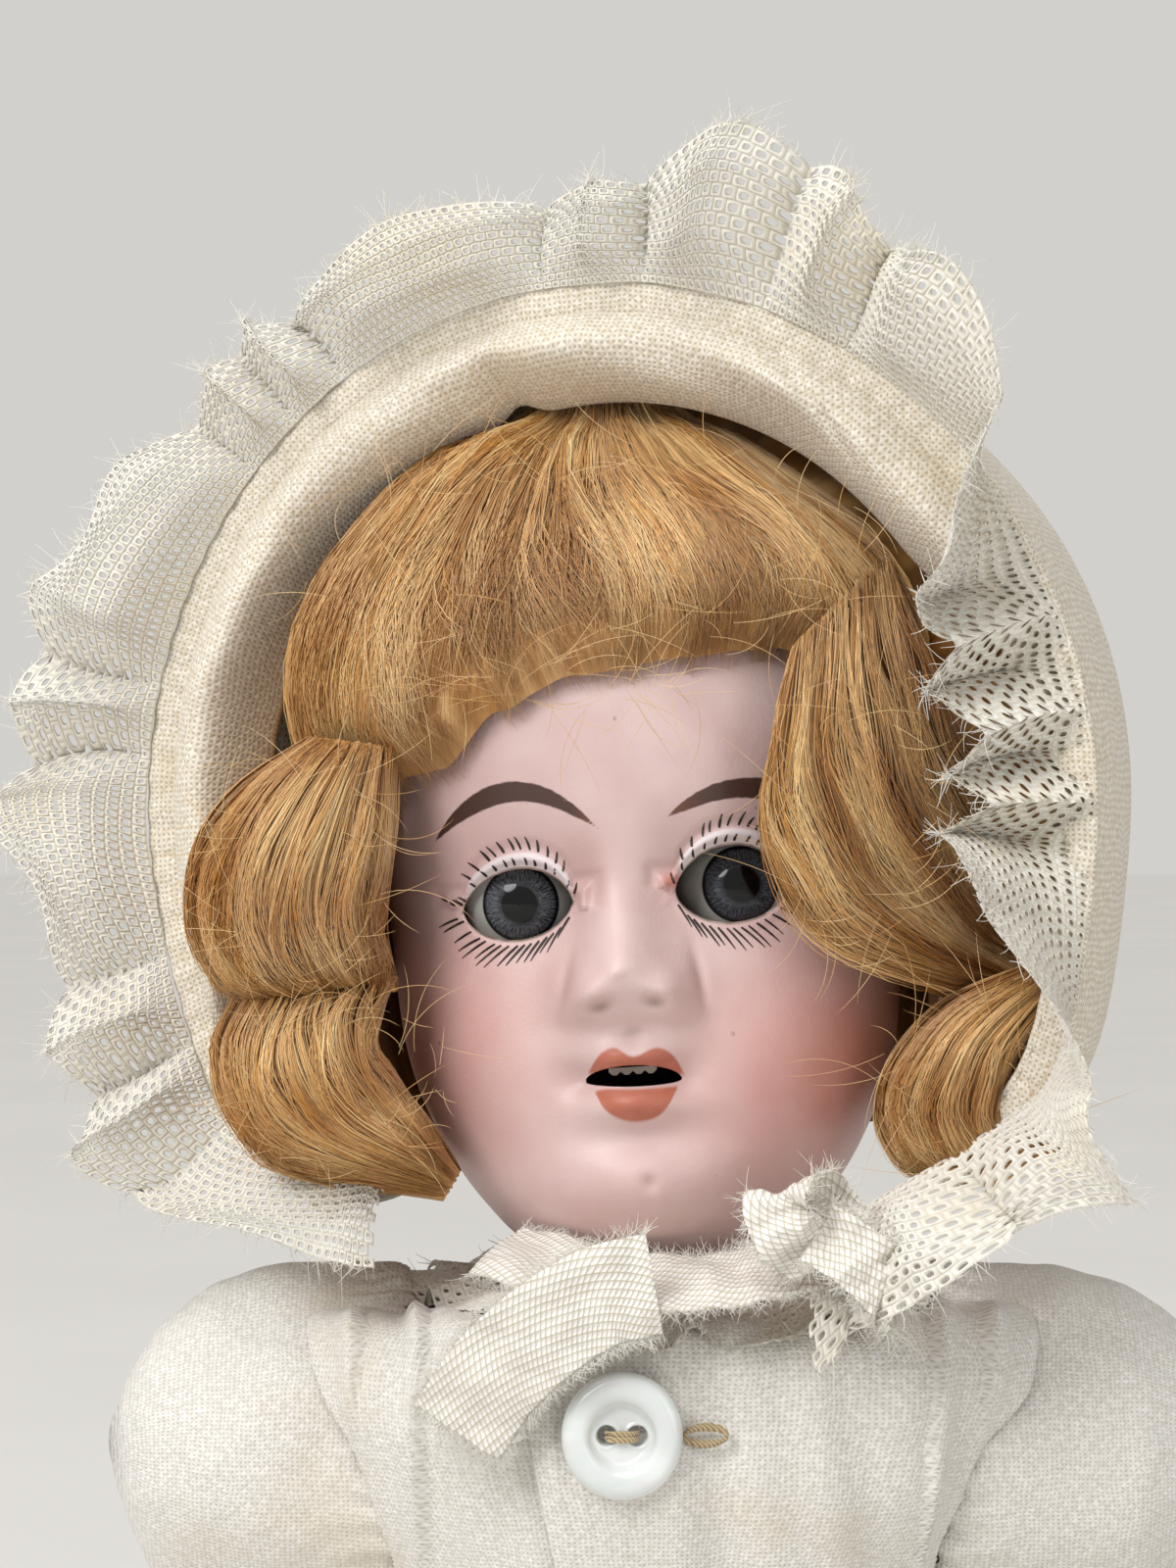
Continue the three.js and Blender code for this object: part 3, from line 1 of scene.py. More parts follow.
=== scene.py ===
"""An antique bisque head doll, seated: a tinted head with glass eyes, a mohair wig, a linen bonnet with a
knitted lace ruffle, a tucked lawn dress with a shell button, and a strung composition body.

Lengths in this script are millimetres until a mesh is made, +Z is up and the doll faces -Y.
"""
import functools
import math
import bpy
import numpy as np
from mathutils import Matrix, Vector


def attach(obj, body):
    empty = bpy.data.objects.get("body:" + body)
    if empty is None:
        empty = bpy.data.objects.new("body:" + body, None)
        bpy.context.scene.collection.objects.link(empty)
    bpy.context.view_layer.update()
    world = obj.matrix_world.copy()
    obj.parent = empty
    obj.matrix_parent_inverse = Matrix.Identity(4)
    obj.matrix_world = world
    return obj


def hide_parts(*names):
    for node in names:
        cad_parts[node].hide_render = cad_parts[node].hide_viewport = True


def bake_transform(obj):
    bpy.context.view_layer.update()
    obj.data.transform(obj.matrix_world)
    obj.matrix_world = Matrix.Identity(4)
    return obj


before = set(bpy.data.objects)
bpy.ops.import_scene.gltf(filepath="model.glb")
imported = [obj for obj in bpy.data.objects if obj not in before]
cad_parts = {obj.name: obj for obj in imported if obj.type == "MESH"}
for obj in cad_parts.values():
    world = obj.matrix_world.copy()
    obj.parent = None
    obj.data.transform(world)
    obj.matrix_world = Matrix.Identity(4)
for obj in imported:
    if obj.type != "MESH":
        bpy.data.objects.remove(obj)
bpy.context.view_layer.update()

METRE = 0.001

# Camera: where the photograph was taken from, and its frame on the plane of the face
PIXEL = 0.0914  # millimetres per pixel of the 1200 x 1600 frame, on the face plane
CAMERA = np.array([-8.2, -408.0, 142.8])
FACE_PLANE = 380.0  # distance from the camera to that plane
FRAME_PIXELS = (1200, 1600)

# The part's own placements, as in its source
NECK_PIVOT = np.array([0.0, 3.0, 94.0])
HEAD_LEAN, HEAD_TURN = math.radians(4), math.radians(6)
BONNET_PLACE = np.array([-2.0, 4.5, 140.5])
BONNET_LEAN, BONNET_TURN = math.radians(4), math.radians(17)
HEAD_HEIGHT, CHIN_RISE = 72.5, 3.5


# Numbers

def smooth(low, high, x):
    """Eases from 0 at low to 1 at high."""
    t = np.clip((np.asarray(x, float) - low) / (high - low), 0, 1)
    return t * t * (3 - 2 * t)


def mix(a, b, t):
    return a + (b - a) * t


def table(rows, x):
    """The value at x of a table of (place, value) rows, eased between the rows."""
    places, values = np.array(rows, float).T
    x = np.clip(np.asarray(x, float), places[0], places[-1])
    i = np.clip(np.searchsorted(places, x, side="right") - 1, 0, len(places) - 2)
    return mix(values[i], values[i + 1], smooth(0, 1, (x - places[i]) / (places[i + 1] - places[i])))


def spline(rows, place):
    """A smooth curve through rows of numbers; a whole place is a row itself. Returns one row per place."""
    rows = np.array(rows, float)
    place = np.asarray(place, float)
    last = len(rows) - 1
    i = np.clip(np.floor(place).astype(int), 0, last - 1)
    t = (place - i)[..., None]
    p, a, b, n = rows[np.maximum(0, i - 1)], rows[i], rows[i + 1], rows[np.minimum(last, i + 2)]
    slope_a, slope_b = (b - p) / 2, (n - a) / 2
    t2, t3 = t * t, t ** 3
    return ((2 * t3 - 3 * t2 + 1) * a + (t3 - 2 * t2 + t) * slope_a
            + (3 * t2 - 2 * t3) * b + (t3 - t2) * slope_b)


def unit(v):
    return v / np.maximum(np.linalg.norm(v, axis=-1, keepdims=True), 1e-9)


def joined(*parts):
    """Arrays, made the same shape and joined as the last axis: x, y and z as points, or u and v as places."""
    return np.stack(np.broadcast_arrays(*parts), -1)


def parameters(columns, rows, u=(0, 1), v=(0, 1)):
    """The two parameters of a surface, on a grid of so many columns and rows."""
    return np.meshgrid(np.linspace(*u, columns), np.linspace(*v, rows))


def round_angles(count):
    """Even angles once round, without the last that meets the first."""
    return np.arange(count) / count * 2 * math.pi


def waves(seed, size, *coordinates):
    """Soft noise near -1 to 1: a sum of nine sine waves in random directions, with wavelengths about the size."""
    source = np.random.default_rng(seed)
    points = joined(*coordinates)
    total = 0.0
    for _ in range(9):
        direction = unit(source.normal(size=points.shape[-1]))
        length = size * source.uniform(0.6, 1.7)
        total = total + np.sin(points @ direction * (2 * math.pi / length) + source.uniform(0, 2 * math.pi))
    return total / 3


def turned(lean, turn):
    """The rotation that leans a thing about Y and then turns it about Z, both towards the doll's right."""
    (cl, sl), (ct, st) = (math.cos(-lean), math.sin(-lean)), (math.cos(-turn), math.sin(-turn))
    about_y = np.array([[cl, 0, sl], [0, 1, 0], [-sl, 0, cl]])
    about_z = np.array([[ct, -st, 0], [st, ct, 0], [0, 0, 1]])
    return about_z @ about_y


HEAD_FRAME = turned(HEAD_LEAN, HEAD_TURN)
BONNET_FRAME = turned(BONNET_LEAN, BONNET_TURN)


def head_to_world(points):
    return points @ HEAD_FRAME.T + NECK_PIVOT


def bonnet_to_world(points):
    return points @ BONNET_FRAME.T + BONNET_PLACE


def seen(world):
    """Where the camera sees world points, in pixels of the photograph's frame: across and down."""
    share = FACE_PLANE / (world[..., 1] - CAMERA[1]) / PIXEL
    return (FRAME_PIXELS[0] / 2 + (world[..., 0] - CAMERA[0]) * share,
            FRAME_PIXELS[1] / 2 - (world[..., 2] - CAMERA[2]) * share)


def behind_pixel(across, down, y):
    """The world points behind pixels of the frame, at depths y."""
    reach = (y - CAMERA[1]) / FACE_PLANE * PIXEL
    return joined(CAMERA[0] + (across - FRAME_PIXELS[0] / 2) * reach, y,
                  CAMERA[2] - (down - FRAME_PIXELS[1] / 2) * reach)


# Meshes

def mesh_piece(name, points, faces, material, body, replaces=(), uv=None, values=None, slot=None):
    mesh = bpy.data.meshes.new(name)
    faces = np.asarray(faces, np.int32)
    mesh.vertices.add(len(points))
    mesh.vertices.foreach_set("co", (points * METRE).astype(np.float32).ravel())
    mesh.loops.add(faces.size)
    mesh.loops.foreach_set("vertex_index", faces.ravel())
    mesh.polygons.add(len(faces))
    mesh.polygons.foreach_set("loop_start", np.arange(0, faces.size, faces.shape[1], dtype=np.int32))
    mesh.update(calc_edges=True)
    if uv is not None:
        mesh.uv_layers.new(name="UVMap").data.foreach_set("uv", uv.astype(np.float32)[faces.ravel()].ravel())
    for key, value in (values or {}).items():
        mesh.attributes.new(key, "FLOAT", "POINT").data.foreach_set("value",
                np.asarray(value, np.float32).ravel())
    mesh.polygons.foreach_set("use_smooth", np.ones(len(faces), bool))
    mesh.materials.append(material)
    obj = bpy.data.objects.new(name, mesh)
    bpy.context.scene.collection.objects.link(obj)
    if body:
        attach(obj, body)
    if replaces:
        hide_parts(*replaces)
    return obj


def grid_faces(columns, rows, loop=False):
    """Four-cornered faces of a grid of points that is stored row by row. With loop, the columns join up."""
    i, j = (a.ravel() for a in np.meshgrid(np.arange(columns if loop else columns - 1), np.arange(rows - 1)))
    right = (i + 1) % columns
    return np.stack([j * columns + i, j * columns + right, (j + 1) * columns + right, (j + 1) * columns + i], 1)


def repeated(faces, count, step):
    """The faces of one small mesh for each of count copies, whose points follow one another in steps."""
    return (faces + np.arange(count)[:, None, None] * step).reshape(-1, 4)


def open_edges(faces, count):
    """The edges that only one face uses, as pairs of points, of which there are count in all."""
    edges = np.concatenate([faces[:, [a, (a + 1) % 4]] for a in range(4)])
    _, first, uses = np.unique(np.sort(edges, 1) @ [count, 1], return_index=True, return_counts=True)
    return edges[first[uses == 1]]


def used_only(faces):
    """The points that faces use, and the faces numbered by those points alone."""
    used, numbered = np.unique(faces, return_inverse=True)
    return used, numbered.reshape(faces.shape)


def faces_area(points, faces):
    """The area of four-cornered faces, in square millimetres: half of the product of their diagonals."""
    a, b, c, d = points[faces.T]
    return float(np.linalg.norm(np.cross(c - a, d - b), axis=1).sum() / 2)


def sheet_solid(outer, inner, loop=False, keep=None):
    """Points and faces of a closed sheet between two grids of points of the same shape, with a wall along each
    open edge. keep says for each point whether its faces stay."""
    rows, columns = outer.shape[:2]
    count = rows * columns
    faces = grid_faces(columns, rows, loop)
    if keep is not None:
        faces = faces[keep.ravel()[faces].all(1)]
    first, last = open_edges(faces, count).T
    walls = np.stack([last, first, first + count, last + count], 1)
    return np.concatenate([outer, inner]).reshape(-1, 3), np.concatenate([faces, faces[:, ::-1] + count, walls])


def grid_normals(grid):
    """Unit normals of a grid of points, from its rows and columns."""
    return unit(np.cross(np.gradient(grid, axis=1), np.gradient(grid, axis=0)))


def tubes(paths, radius, sides, taper):
    """Points and faces of thin tubes along paths (count, steps, 3), with one radius or one per path, narrowed by
    the taper at each step. Each tube's sides are laid from the axis that its path runs along least, so that it
    never twists."""
    count, steps, _ = paths.shape
    along = unit(np.gradient(paths, axis=1))
    side = unit(np.cross(along, np.eye(3)[np.abs(along).max(1).argmin(-1)][:, None]))
    angles = round_angles(sides)[:, None]
    reach = np.broadcast_to(np.reshape(radius, (-1, 1)), (count, 1)) * taper
    points = paths[:, :, None] + reach[..., None, None] * (
        side[:, :, None] * np.cos(angles) + np.cross(along, side)[:, :, None] * np.sin(angles))
    return points.reshape(-1, 3), repeated(grid_faces(sides, steps, True), count, steps * sides)


# Materials

def linear(hex_colour):
    """A colour written as #rrggbb, in linear light with alpha 1."""
    srgb = [int(hex_colour[i:i + 2], 16) / 255 for i in (1, 3, 5)]
    return tuple(c / 12.92 if c <= 0.04045 else ((c + 0.055) / 1.055) ** 2.4 for c in srgb) + (1.0,)


# Settings and values that all nodes of a kind share here
SHARED_SETTINGS = {"Mix": dict(data_type="RGBA"), "MapRange": dict(interpolation_type="SMOOTHSTEP"),
                   "TexNoise": dict(Detail=3, Roughness=0.55)}


def add_node(tree, kind, *values, out=None, **settings):
    """Adds a node with its settings and links, and gives its first output, or the one that out names. A kind in
    capitals is an operation of the Math node. values go to the node's sockets in turn: numbers, colours as #rrggbb
    or other nodes' outputs. A setting with a capital letter is a socket, with _ for a space, and any other is a
    property of the node."""
    if kind.isupper():
        kind, settings["operation"] = "Math", kind
    settings = {**SHARED_SETTINGS.get(kind, {}), **settings}
    node = tree.nodes.new("ShaderNode" + kind)
    for key in [k for k in settings if k[0].islower()]:
        setattr(node, key, settings.pop(key))
    given = [(node.inputs[key.replace("_", " ")], value) for key, value in settings.items()]
    for socket, value in given + list(zip([s for s in node.inputs if s.enabled], values)):
        if isinstance(value, bpy.types.NodeSocket):
            tree.links.new(value, socket)
        else:
            socket.default_value = linear(value) if isinstance(value, str) else value
    return node.outputs[out] if out else next(s for s in node.outputs if s.enabled)


class Look:
    """A material with a Principled shader, whose own sockets take the settings. add adds a node to it."""

    def __init__(self, name, **settings):
        self.material = bpy.data.materials.new(name)
        self.material.use_nodes = True
        self.tree = self.material.node_tree
        self.shader = self.tree.nodes["Principled BSDF"]
        self.add = functools.partial(add_node, self.tree)
        for key, value in settings.items():
            self.shader.inputs[key.replace("_", " ")].default_value = value

    def finish(self, colour, height=None, depth=0.0):
        """Links the colour, and relief from a height of 0 to 1 that is so many millimetres deep."""
        self.tree.links.new(colour, self.shader.inputs["Base Color"])
        if height is not None:
            relief = self.add("Bump", Height=height, Distance=depth * METRE)
            self.tree.links.new(relief, self.shader.inputs["Normal"])
        return self.material


# Head

HEAD_HALF_WIDTH, HEAD_FRONT, HEAD_BACK = 26.4, 26.0, 30.0
NECK_RADIUS, NECK_TOP = 11.5, 1.8
EYE_SPACING, EYE_RISE, EYE_RADIUS, EYE_CENTRE_FRONT = 10.2, 38.2, 6.3, 13.6
HEAD_ROW_SHARES = [
    (0, 0.47, 0.62, 0.4), (0.02, 0.57, 0.8, 0.43), (0.055, 0.655, 0.9, 0.47), (0.11, 0.76, 0.955, 0.54),
    (0.193, 0.872, 0.95, 0.66), (0.276, 0.937, 0.94, 0.78), (0.372, 0.963, 0.93, 0.89),
    (0.476, 0.972, 0.925, 0.965), (0.58, 0.993, 0.975, 1), (0.69, 1, 1, 1), (0.786, 0.95, 0.945, 0.94),
    (0.883, 0.8, 0.79, 0.78), (0.952, 0.56, 0.56, 0.56), (0.99, 0.28, 0.28, 0.28), (1, 0, 0, 0),
]
NECK_ANGLES = [math.radians(a) for a in (8, 32, 58, 90)]
HEAD_ROWS = np.array(
    [(-NECK_RADIUS * math.cos(a),) + (NECK_RADIUS * math.sin(a),) * 3 for a in NECK_ANGLES]
    + [(NECK_TOP,) + (NECK_RADIUS,) * 3]
    + [(CHIN_RISE + r * HEAD_HEIGHT, w * HEAD_HALF_WIDTH, f * HEAD_FRONT, b * HEAD_BACK)
       for r, w, f, b in HEAD_ROW_SHARES])
FIRST_HEAD_ROW = len(NECK_ANGLES) + 1
LAST_HEAD_ROW = len(HEAD_ROWS) - 1

# Swells and hollows of the moulded face, as shares of the head's height, as in the part's source
MIDDLE_SWELLS = [
    (0, 0.372, 0.066, 0.044, 0.042), (0, 0.43, 0.03, 0.036, 0.05), (0, 0.49, 0.02, 0.034, 0.06),
    (0, 0.208, 0.024, 0.046, 0.021), (0, 0.158, -0.01, 0.07, 0.022), (0, 0.095, 0.022, 0.075, 0.06),
]
SIDE_SWELLS = [
    (0.056, 0.345, 0.036, 0.028, 0.03), (0.128, 0.485, -0.022, 0.072, 0.055), (0.12, 0.6, 0.006, 0.09, 0.05),
    (0.028, 0.272, 0.02, 0.034, 0.017), (0.072, 0.245, -0.012, 0.022, 0.022), (0.2, 0.27, 0.02, 0.11, 0.11),
]
SWELLS = MIDDLE_SWELLS + SIDE_SWELLS + [(-s[0],) + s[1:] for s in SIDE_SWELLS]


def face_relief(x, z):
    """How far the moulded face stands forward of the plain head: a sum of bell-shaped swells."""
    across, up = x / HEAD_HEIGHT, (z - CHIN_RISE) / HEAD_HEIGHT
    return HEAD_HEIGHT * sum(depth * np.exp(-(((across - fx) / sx) ** 2 + ((up - fz) / sz) ** 2) / 2)
                             for fx, fz, depth, sx, sz in SWELLS)


def head_point(angle, place, lift=0.0, relief=True):
    """Points of the head, before it is placed: an ellipse at each rise, of a different depth in front and
    behind, grown outwards by lift, with the face's swells where relief is asked for."""
    angle, place, lift = np.broadcast_arrays(*(np.asarray(a, float) for a in (angle, place, lift)))
    here = spline(HEAD_ROWS, place)
    high = spline(HEAD_ROWS, np.minimum(LAST_HEAD_ROW, place + 0.02))
    low = spline(HEAD_ROWS, np.maximum(0, place - 0.02))
    s, c = np.sin(angle), np.cos(angle)
    pick = np.where(c > 0, 2, 3)
    z, width = here[..., 0], here[..., 1]
    reach = np.take_along_axis(here, pick[..., None], -1)[..., 0]
    growth = np.take_along_axis(high - low, pick[..., None], -1)[..., 0]
    run = ((high - low)[..., 1] + growth) / 2
    wide, deep = np.maximum(width, 1e-6), np.maximum(reach, 1e-6)
    around = unit(joined(s / wide, -c / deep, 0))
    top = (width < NECK_TOP)[..., None]
    around = np.where(top, joined(s, -c, 0), around)
    rise = (high - low)[..., 0]
    normal = unit(around * rise[..., None] + joined(0, 0, -run))
    point = joined(width * s, -reach * c, z) + normal * lift[..., None]
    if relief:
        point[..., 1] -= face_relief(point[..., 0], point[..., 2]) * smooth(0, 0.45, c)
    return point


_places = np.linspace(FIRST_HEAD_ROW, LAST_HEAD_ROW, 3000)
_rises = spline(HEAD_ROWS, _places)[:, 0]


def place_at(rise):
    """The place along the head's rows at a rise above the neck's centre."""
    return np.interp(rise, _rises, _places)


# The face's painted and modelled details are placed by where the camera sees them, in pixels of the frame.
EYES = {
    "right": dict(outer=(473, 931), inner=(584, 921), top=887, bottom=959, iris=(530, 923), side=-1),
    "left": dict(outer=(806, 903), inner=(689, 909), top=862, bottom=941, iris=(757, 902), side=1),
}
MOUTH = dict(left=(597, 1104), right=(696, 1101), top=1087, bottom=1109)
BROWS = [
    ([(441, 862), (462, 829), (490, 806), (522, 797), (556, 803), (586, 821), (611, 846)],
     [(441, 862), (466, 842), (494, 827), (522, 819), (553, 821), (583, 832), (611, 846)]),
    ([(678, 835), (700, 815), (730, 799), (766, 793), (800, 798), (832, 818), (858, 850)],
     [(678, 835), (704, 826), (733, 817), (766, 815), (798, 820), (828, 836), (858, 850)]),
]
UPPER_LIP = ([(601, 1093), (612, 1076), (627, 1069), (646, 1078), (670, 1069), (687, 1077), (699, 1097)],
             [(601, 1096), (612, 1096), (627, 1096), (646, 1096), (670, 1096), (687, 1096), (699, 1098)])
LOWER_LIP = ([(608, 1113), (619, 1111), (632, 1111), (648, 1111), (667, 1110), (680, 1109), (691, 1108)],
             [(608, 1116), (616, 1131), (630, 1141), (648, 1145), (668, 1141), (681, 1130), (691, 1111)])


def lens_inside(u, v, left, right, top, bottom, fullness=0.62):
    """How far pixels lie inside a lens-shaped opening between two corners; negative outside."""
    t = (u - left[0]) / (right[0] - left[0])
    line = left[1] + (right[1] - left[1]) * t
    bow = np.clip(4 * t * (1 - t), 0, None) ** fullness
    middle = (left[1] + right[1]) / 2
    inside = np.minimum(v - (line - (middle - top) * bow), (line + (bottom - middle) * bow) - v)
    ends = np.minimum(t, 1 - t) * abs(right[0] - left[0])
    return np.where(ends < 0, np.minimum(ends, inside), inside)


def eye_inside(u, v, e):
    left, right = (e["outer"], e["inner"]) if e["side"] < 0 else (e["inner"], e["outer"])
    return lens_inside(u, v, left, right, e["top"], e["bottom"])


def band_inside(u, v, upper, lower):
    """How far pixels lie inside a painted shape between an upper and a lower line; negative outside."""
    a, b = np.array(upper, float), np.array(lower, float)
    places = np.linspace(0, len(a) - 1, 120)
    upper_line, lower_line = spline(a, places), spline(b, places)
    inside = np.minimum(v - np.interp(u, *upper_line.T), np.interp(u, *lower_line.T) - v)
    ends = np.minimum(u - a[0, 0], a[-1, 0] - u)
    return np.where(ends < 0, np.minimum(ends, inside), inside)


def bell(u, v, at, wide, tall, tilt=0.0):
    """A bell shape of height 1 round a pixel."""
    c, s = math.cos(math.radians(tilt)), math.sin(math.radians(tilt))
    du, dv = u - at[0], v - at[1]
    return np.exp(-(((du * c + dv * s) / wide) ** 2 + ((dv * c - du * s) / tall) ** 2) / 2)


# Rows of bells: pixel, spread across and down, tilt, and height. First small modelled details, in millimetres
SMALL_RELIEF = [
    ((612, 1027), 10, 5.5, -14, -1.0), ((668, 1022), 10, 5.5, 10, -1.0),
    ((578, 1003), 5, 21, 12, -0.75), ((713, 998), 5, 21, -12, -0.75),
    ((646, 1047), 46, 7, -3, -0.5), ((646, 1062), 7, 13, 0, -0.28),
    ((624, 1083), 17, 8, -12, 0.35), ((669, 1082), 17, 8, 12, 0.35), ((650, 1124), 32, 12, 0, 0.55),
    ((650, 1160), 40, 11, 0, -0.4), ((600, 1104), 9, 10, 0, -0.3), ((697, 1102), 9, 10, 0, -0.3),
    ((663, 1207), 6, 6, 0, -0.5), ((663, 1206), 17, 15, 0, 0.16), ((637, 987), 18, 15, 0, 0.5),
    ((601, 1012), 13, 15, 0, 0.8), ((684, 1007), 13, 15, 0, 0.8),
]


# and then the blush and the painted shade of the face's creases and hollows, as shares
BLUSH = [((868, 1080), 78, 82, 0, 0.42), ((800, 1100), 90, 76, 0, 0.2), ((442, 1072), 72, 90, 0, 0.46),
         ((663, 1235), 70, 30, 0, 0.12), ((690, 905), 26, 20, 0, 0.14), ((600, 880), 24, 30, 0, 0.1)]
SHADE = [
    ((612, 1028), 8, 4.2, -14, 0.85), ((668, 1023), 8, 4.2, 10, 0.85), ((646, 1053), 9, 4, 0, 0.5),
    ((578, 1006), 4, 20, 12, 0.42), ((713, 1000), 4, 20, -12, 0.38), ((633, 996), 9, 4, -20, 0.35),
    ((663, 1207), 4, 4, 0, 0.3), ((597, 880), 20, 34, 16, 0.34), ((690, 868), 18, 32, 0, 0.24),
    ((646, 1100), 70, 30, 0, 0.12), ((592, 1104), 12, 6, 0, 0.2), ((704, 1101), 12, 6, 0, 0.2),
]
FAR_OUTSIDE = -40.0  # pixels


def bells(u, v, rows):
    return sum(height * bell(u, v, at, wide, tall, tilt) for at, wide, tall, tilt, height in rows)


def small_relief(u, v):
    """The small details, a thick fold above each eye with a hollow over it, and a thin one below."""
    total = bells(u, v, SMALL_RELIEF)
    for e in EYES.values():
        inside = eye_inside(u, v, e)
        above = v < (e["outer"][1] + e["inner"][1]) / 2
        fold = np.where(above, 0.75, 0.22) * np.exp(-(((inside + np.where(above, 11, 6)) / 5.5) ** 2))
        total = total + fold * smooth(-40, -26, inside) - 0.3 * above * np.exp(-(((inside + 24) / 6) ** 2))
    return total


def head_surface(angle, place):
    """The finished outer surface in world millimetres, with the small details pushed forward."""
    points = head_point(angle, place)
    world = head_to_world(points)
    u, v = seen(world)
    forward = small_relief(u, v) * smooth(0.2, 0.6, np.cos(angle))
    return head_to_world(points + joined(0, -forward, 0))


def on_form(u, v, front_of, start=-24.0, rounds=14):
    """World points behind pixels of the frame on a form given by its forward reach at a local x and z, found by
    going halfway to it again and again."""
    y = np.full(np.broadcast(u, v).shape, start)
    for _ in range(rounds):
        local = (behind_pixel(u, v, y) - NECK_PIVOT) @ HEAD_FRAME
        local[..., 1] = -front_of(local[..., 0], local[..., 2])
        y = (y + head_to_world(local)[..., 1]) / 2
    return behind_pixel(u, v, y)


def on_face(u, v, proud):
    """World points on the face behind pixels of the frame, proud of it by so many millimetres."""
    def front_of(x, z):
        row = spline(HEAD_ROWS, place_at(z))
        share = np.clip(x / row[..., 1], -0.97, 0.97)
        return row[..., 2] * np.sqrt(1 - share ** 2) + face_relief(x, z) + small_relief(u, v) + proud
    return on_form(u, v, front_of, -22.0, 12)


def head_mesh():
    """The head as one fine grid: its columns crowd on the face, its rows run from the neck's ball to the cut
    of the crown. Quads inside the eye and mouth openings are left out, points beside an opening slide along
    their grid line to its edge, and each edge is folded inwards for the thickness of the bisque."""
    columns = 300
    angle = round_angles(columns) - math.pi
    angle = angle - 0.62 * np.sin(angle)
    c = np.cos(angle)
    cut_rise = 62 + np.where(c > 0, HEAD_FRONT, HEAD_BACK) * c * 0.176
    chin = FIRST_HEAD_ROW + 3
    lower = np.concatenate([np.linspace(0, FIRST_HEAD_ROW, 14)[:-1],
            np.linspace(FIRST_HEAD_ROW, chin, 34)[:-1]])
    upper = mix(chin, place_at(cut_rise), np.linspace(0, 1, 225)[:, None])
    place = np.concatenate([lower[:, None] + 0 * angle, upper])
    grid = head_surface(angle, place)
    u, v = seen(grid)
    openings = [eye_inside(u, v, e) for e in EYES.values()] + [lens_inside(u, v, **MOUTH, fullness=0.5)]
    open_by = np.where(c > 0.3, np.max(openings, axis=0), -99.0)
    inside = open_by > 0
    moved, beside = grid, np.zeros_like(inside)
    for step in ((0, 1), (0, -1), (1, 0), (-1, 0), (1, 1), (1, -1), (-1, 1), (-1, -1)):
        near, near_by = np.roll(grid, step, (0, 1)), np.roll(open_by, step, (0, 1))
        take = inside & ~beside & (near_by <= 0) & (near_by > -90)
        share = (open_by / np.maximum(open_by - near_by, 1e-6))[..., None]
        moved = np.where(take[..., None], mix(grid, near, share), moved)
        beside |= take
    inside, points = inside.ravel(), moved.reshape(-1, 3)
    faces = grid_faces(columns, len(place), True)
    faces = faces[~inside[faces].all(1)]
    # the folded edges: every edge that only one face uses and that lies beside an opening
    rim = open_edges(faces, len(points))
    wall, rim = used_only(rim[inside[rim].all(1)])
    edge, (first, last) = points[wall], rim.T
    pixel = joined(*seen(edge))
    centres = np.array([EYES["right"]["iris"], EYES["left"]["iris"], (647, 1098)])
    centre = centres[np.linalg.norm(pixel[:, None] - centres, axis=-1).argmin(1)]
    out = unit((pixel - centre)[:, [0, 0, 1]] * (1, 0, -1))
    for outset, back in ((0, 0.35), (0.3, 1.3), (0.3, 2.6)):
        following = np.arange(len(wall)) + len(points)
        points = np.concatenate([points, edge + out * outset + (0, back, 0)])
        faces = np.concatenate([faces, np.stack([wall[last], wall[first], following[first], following[last]],
                1)])
        wall = following
    used, faces = used_only(faces)
    return points[used], faces


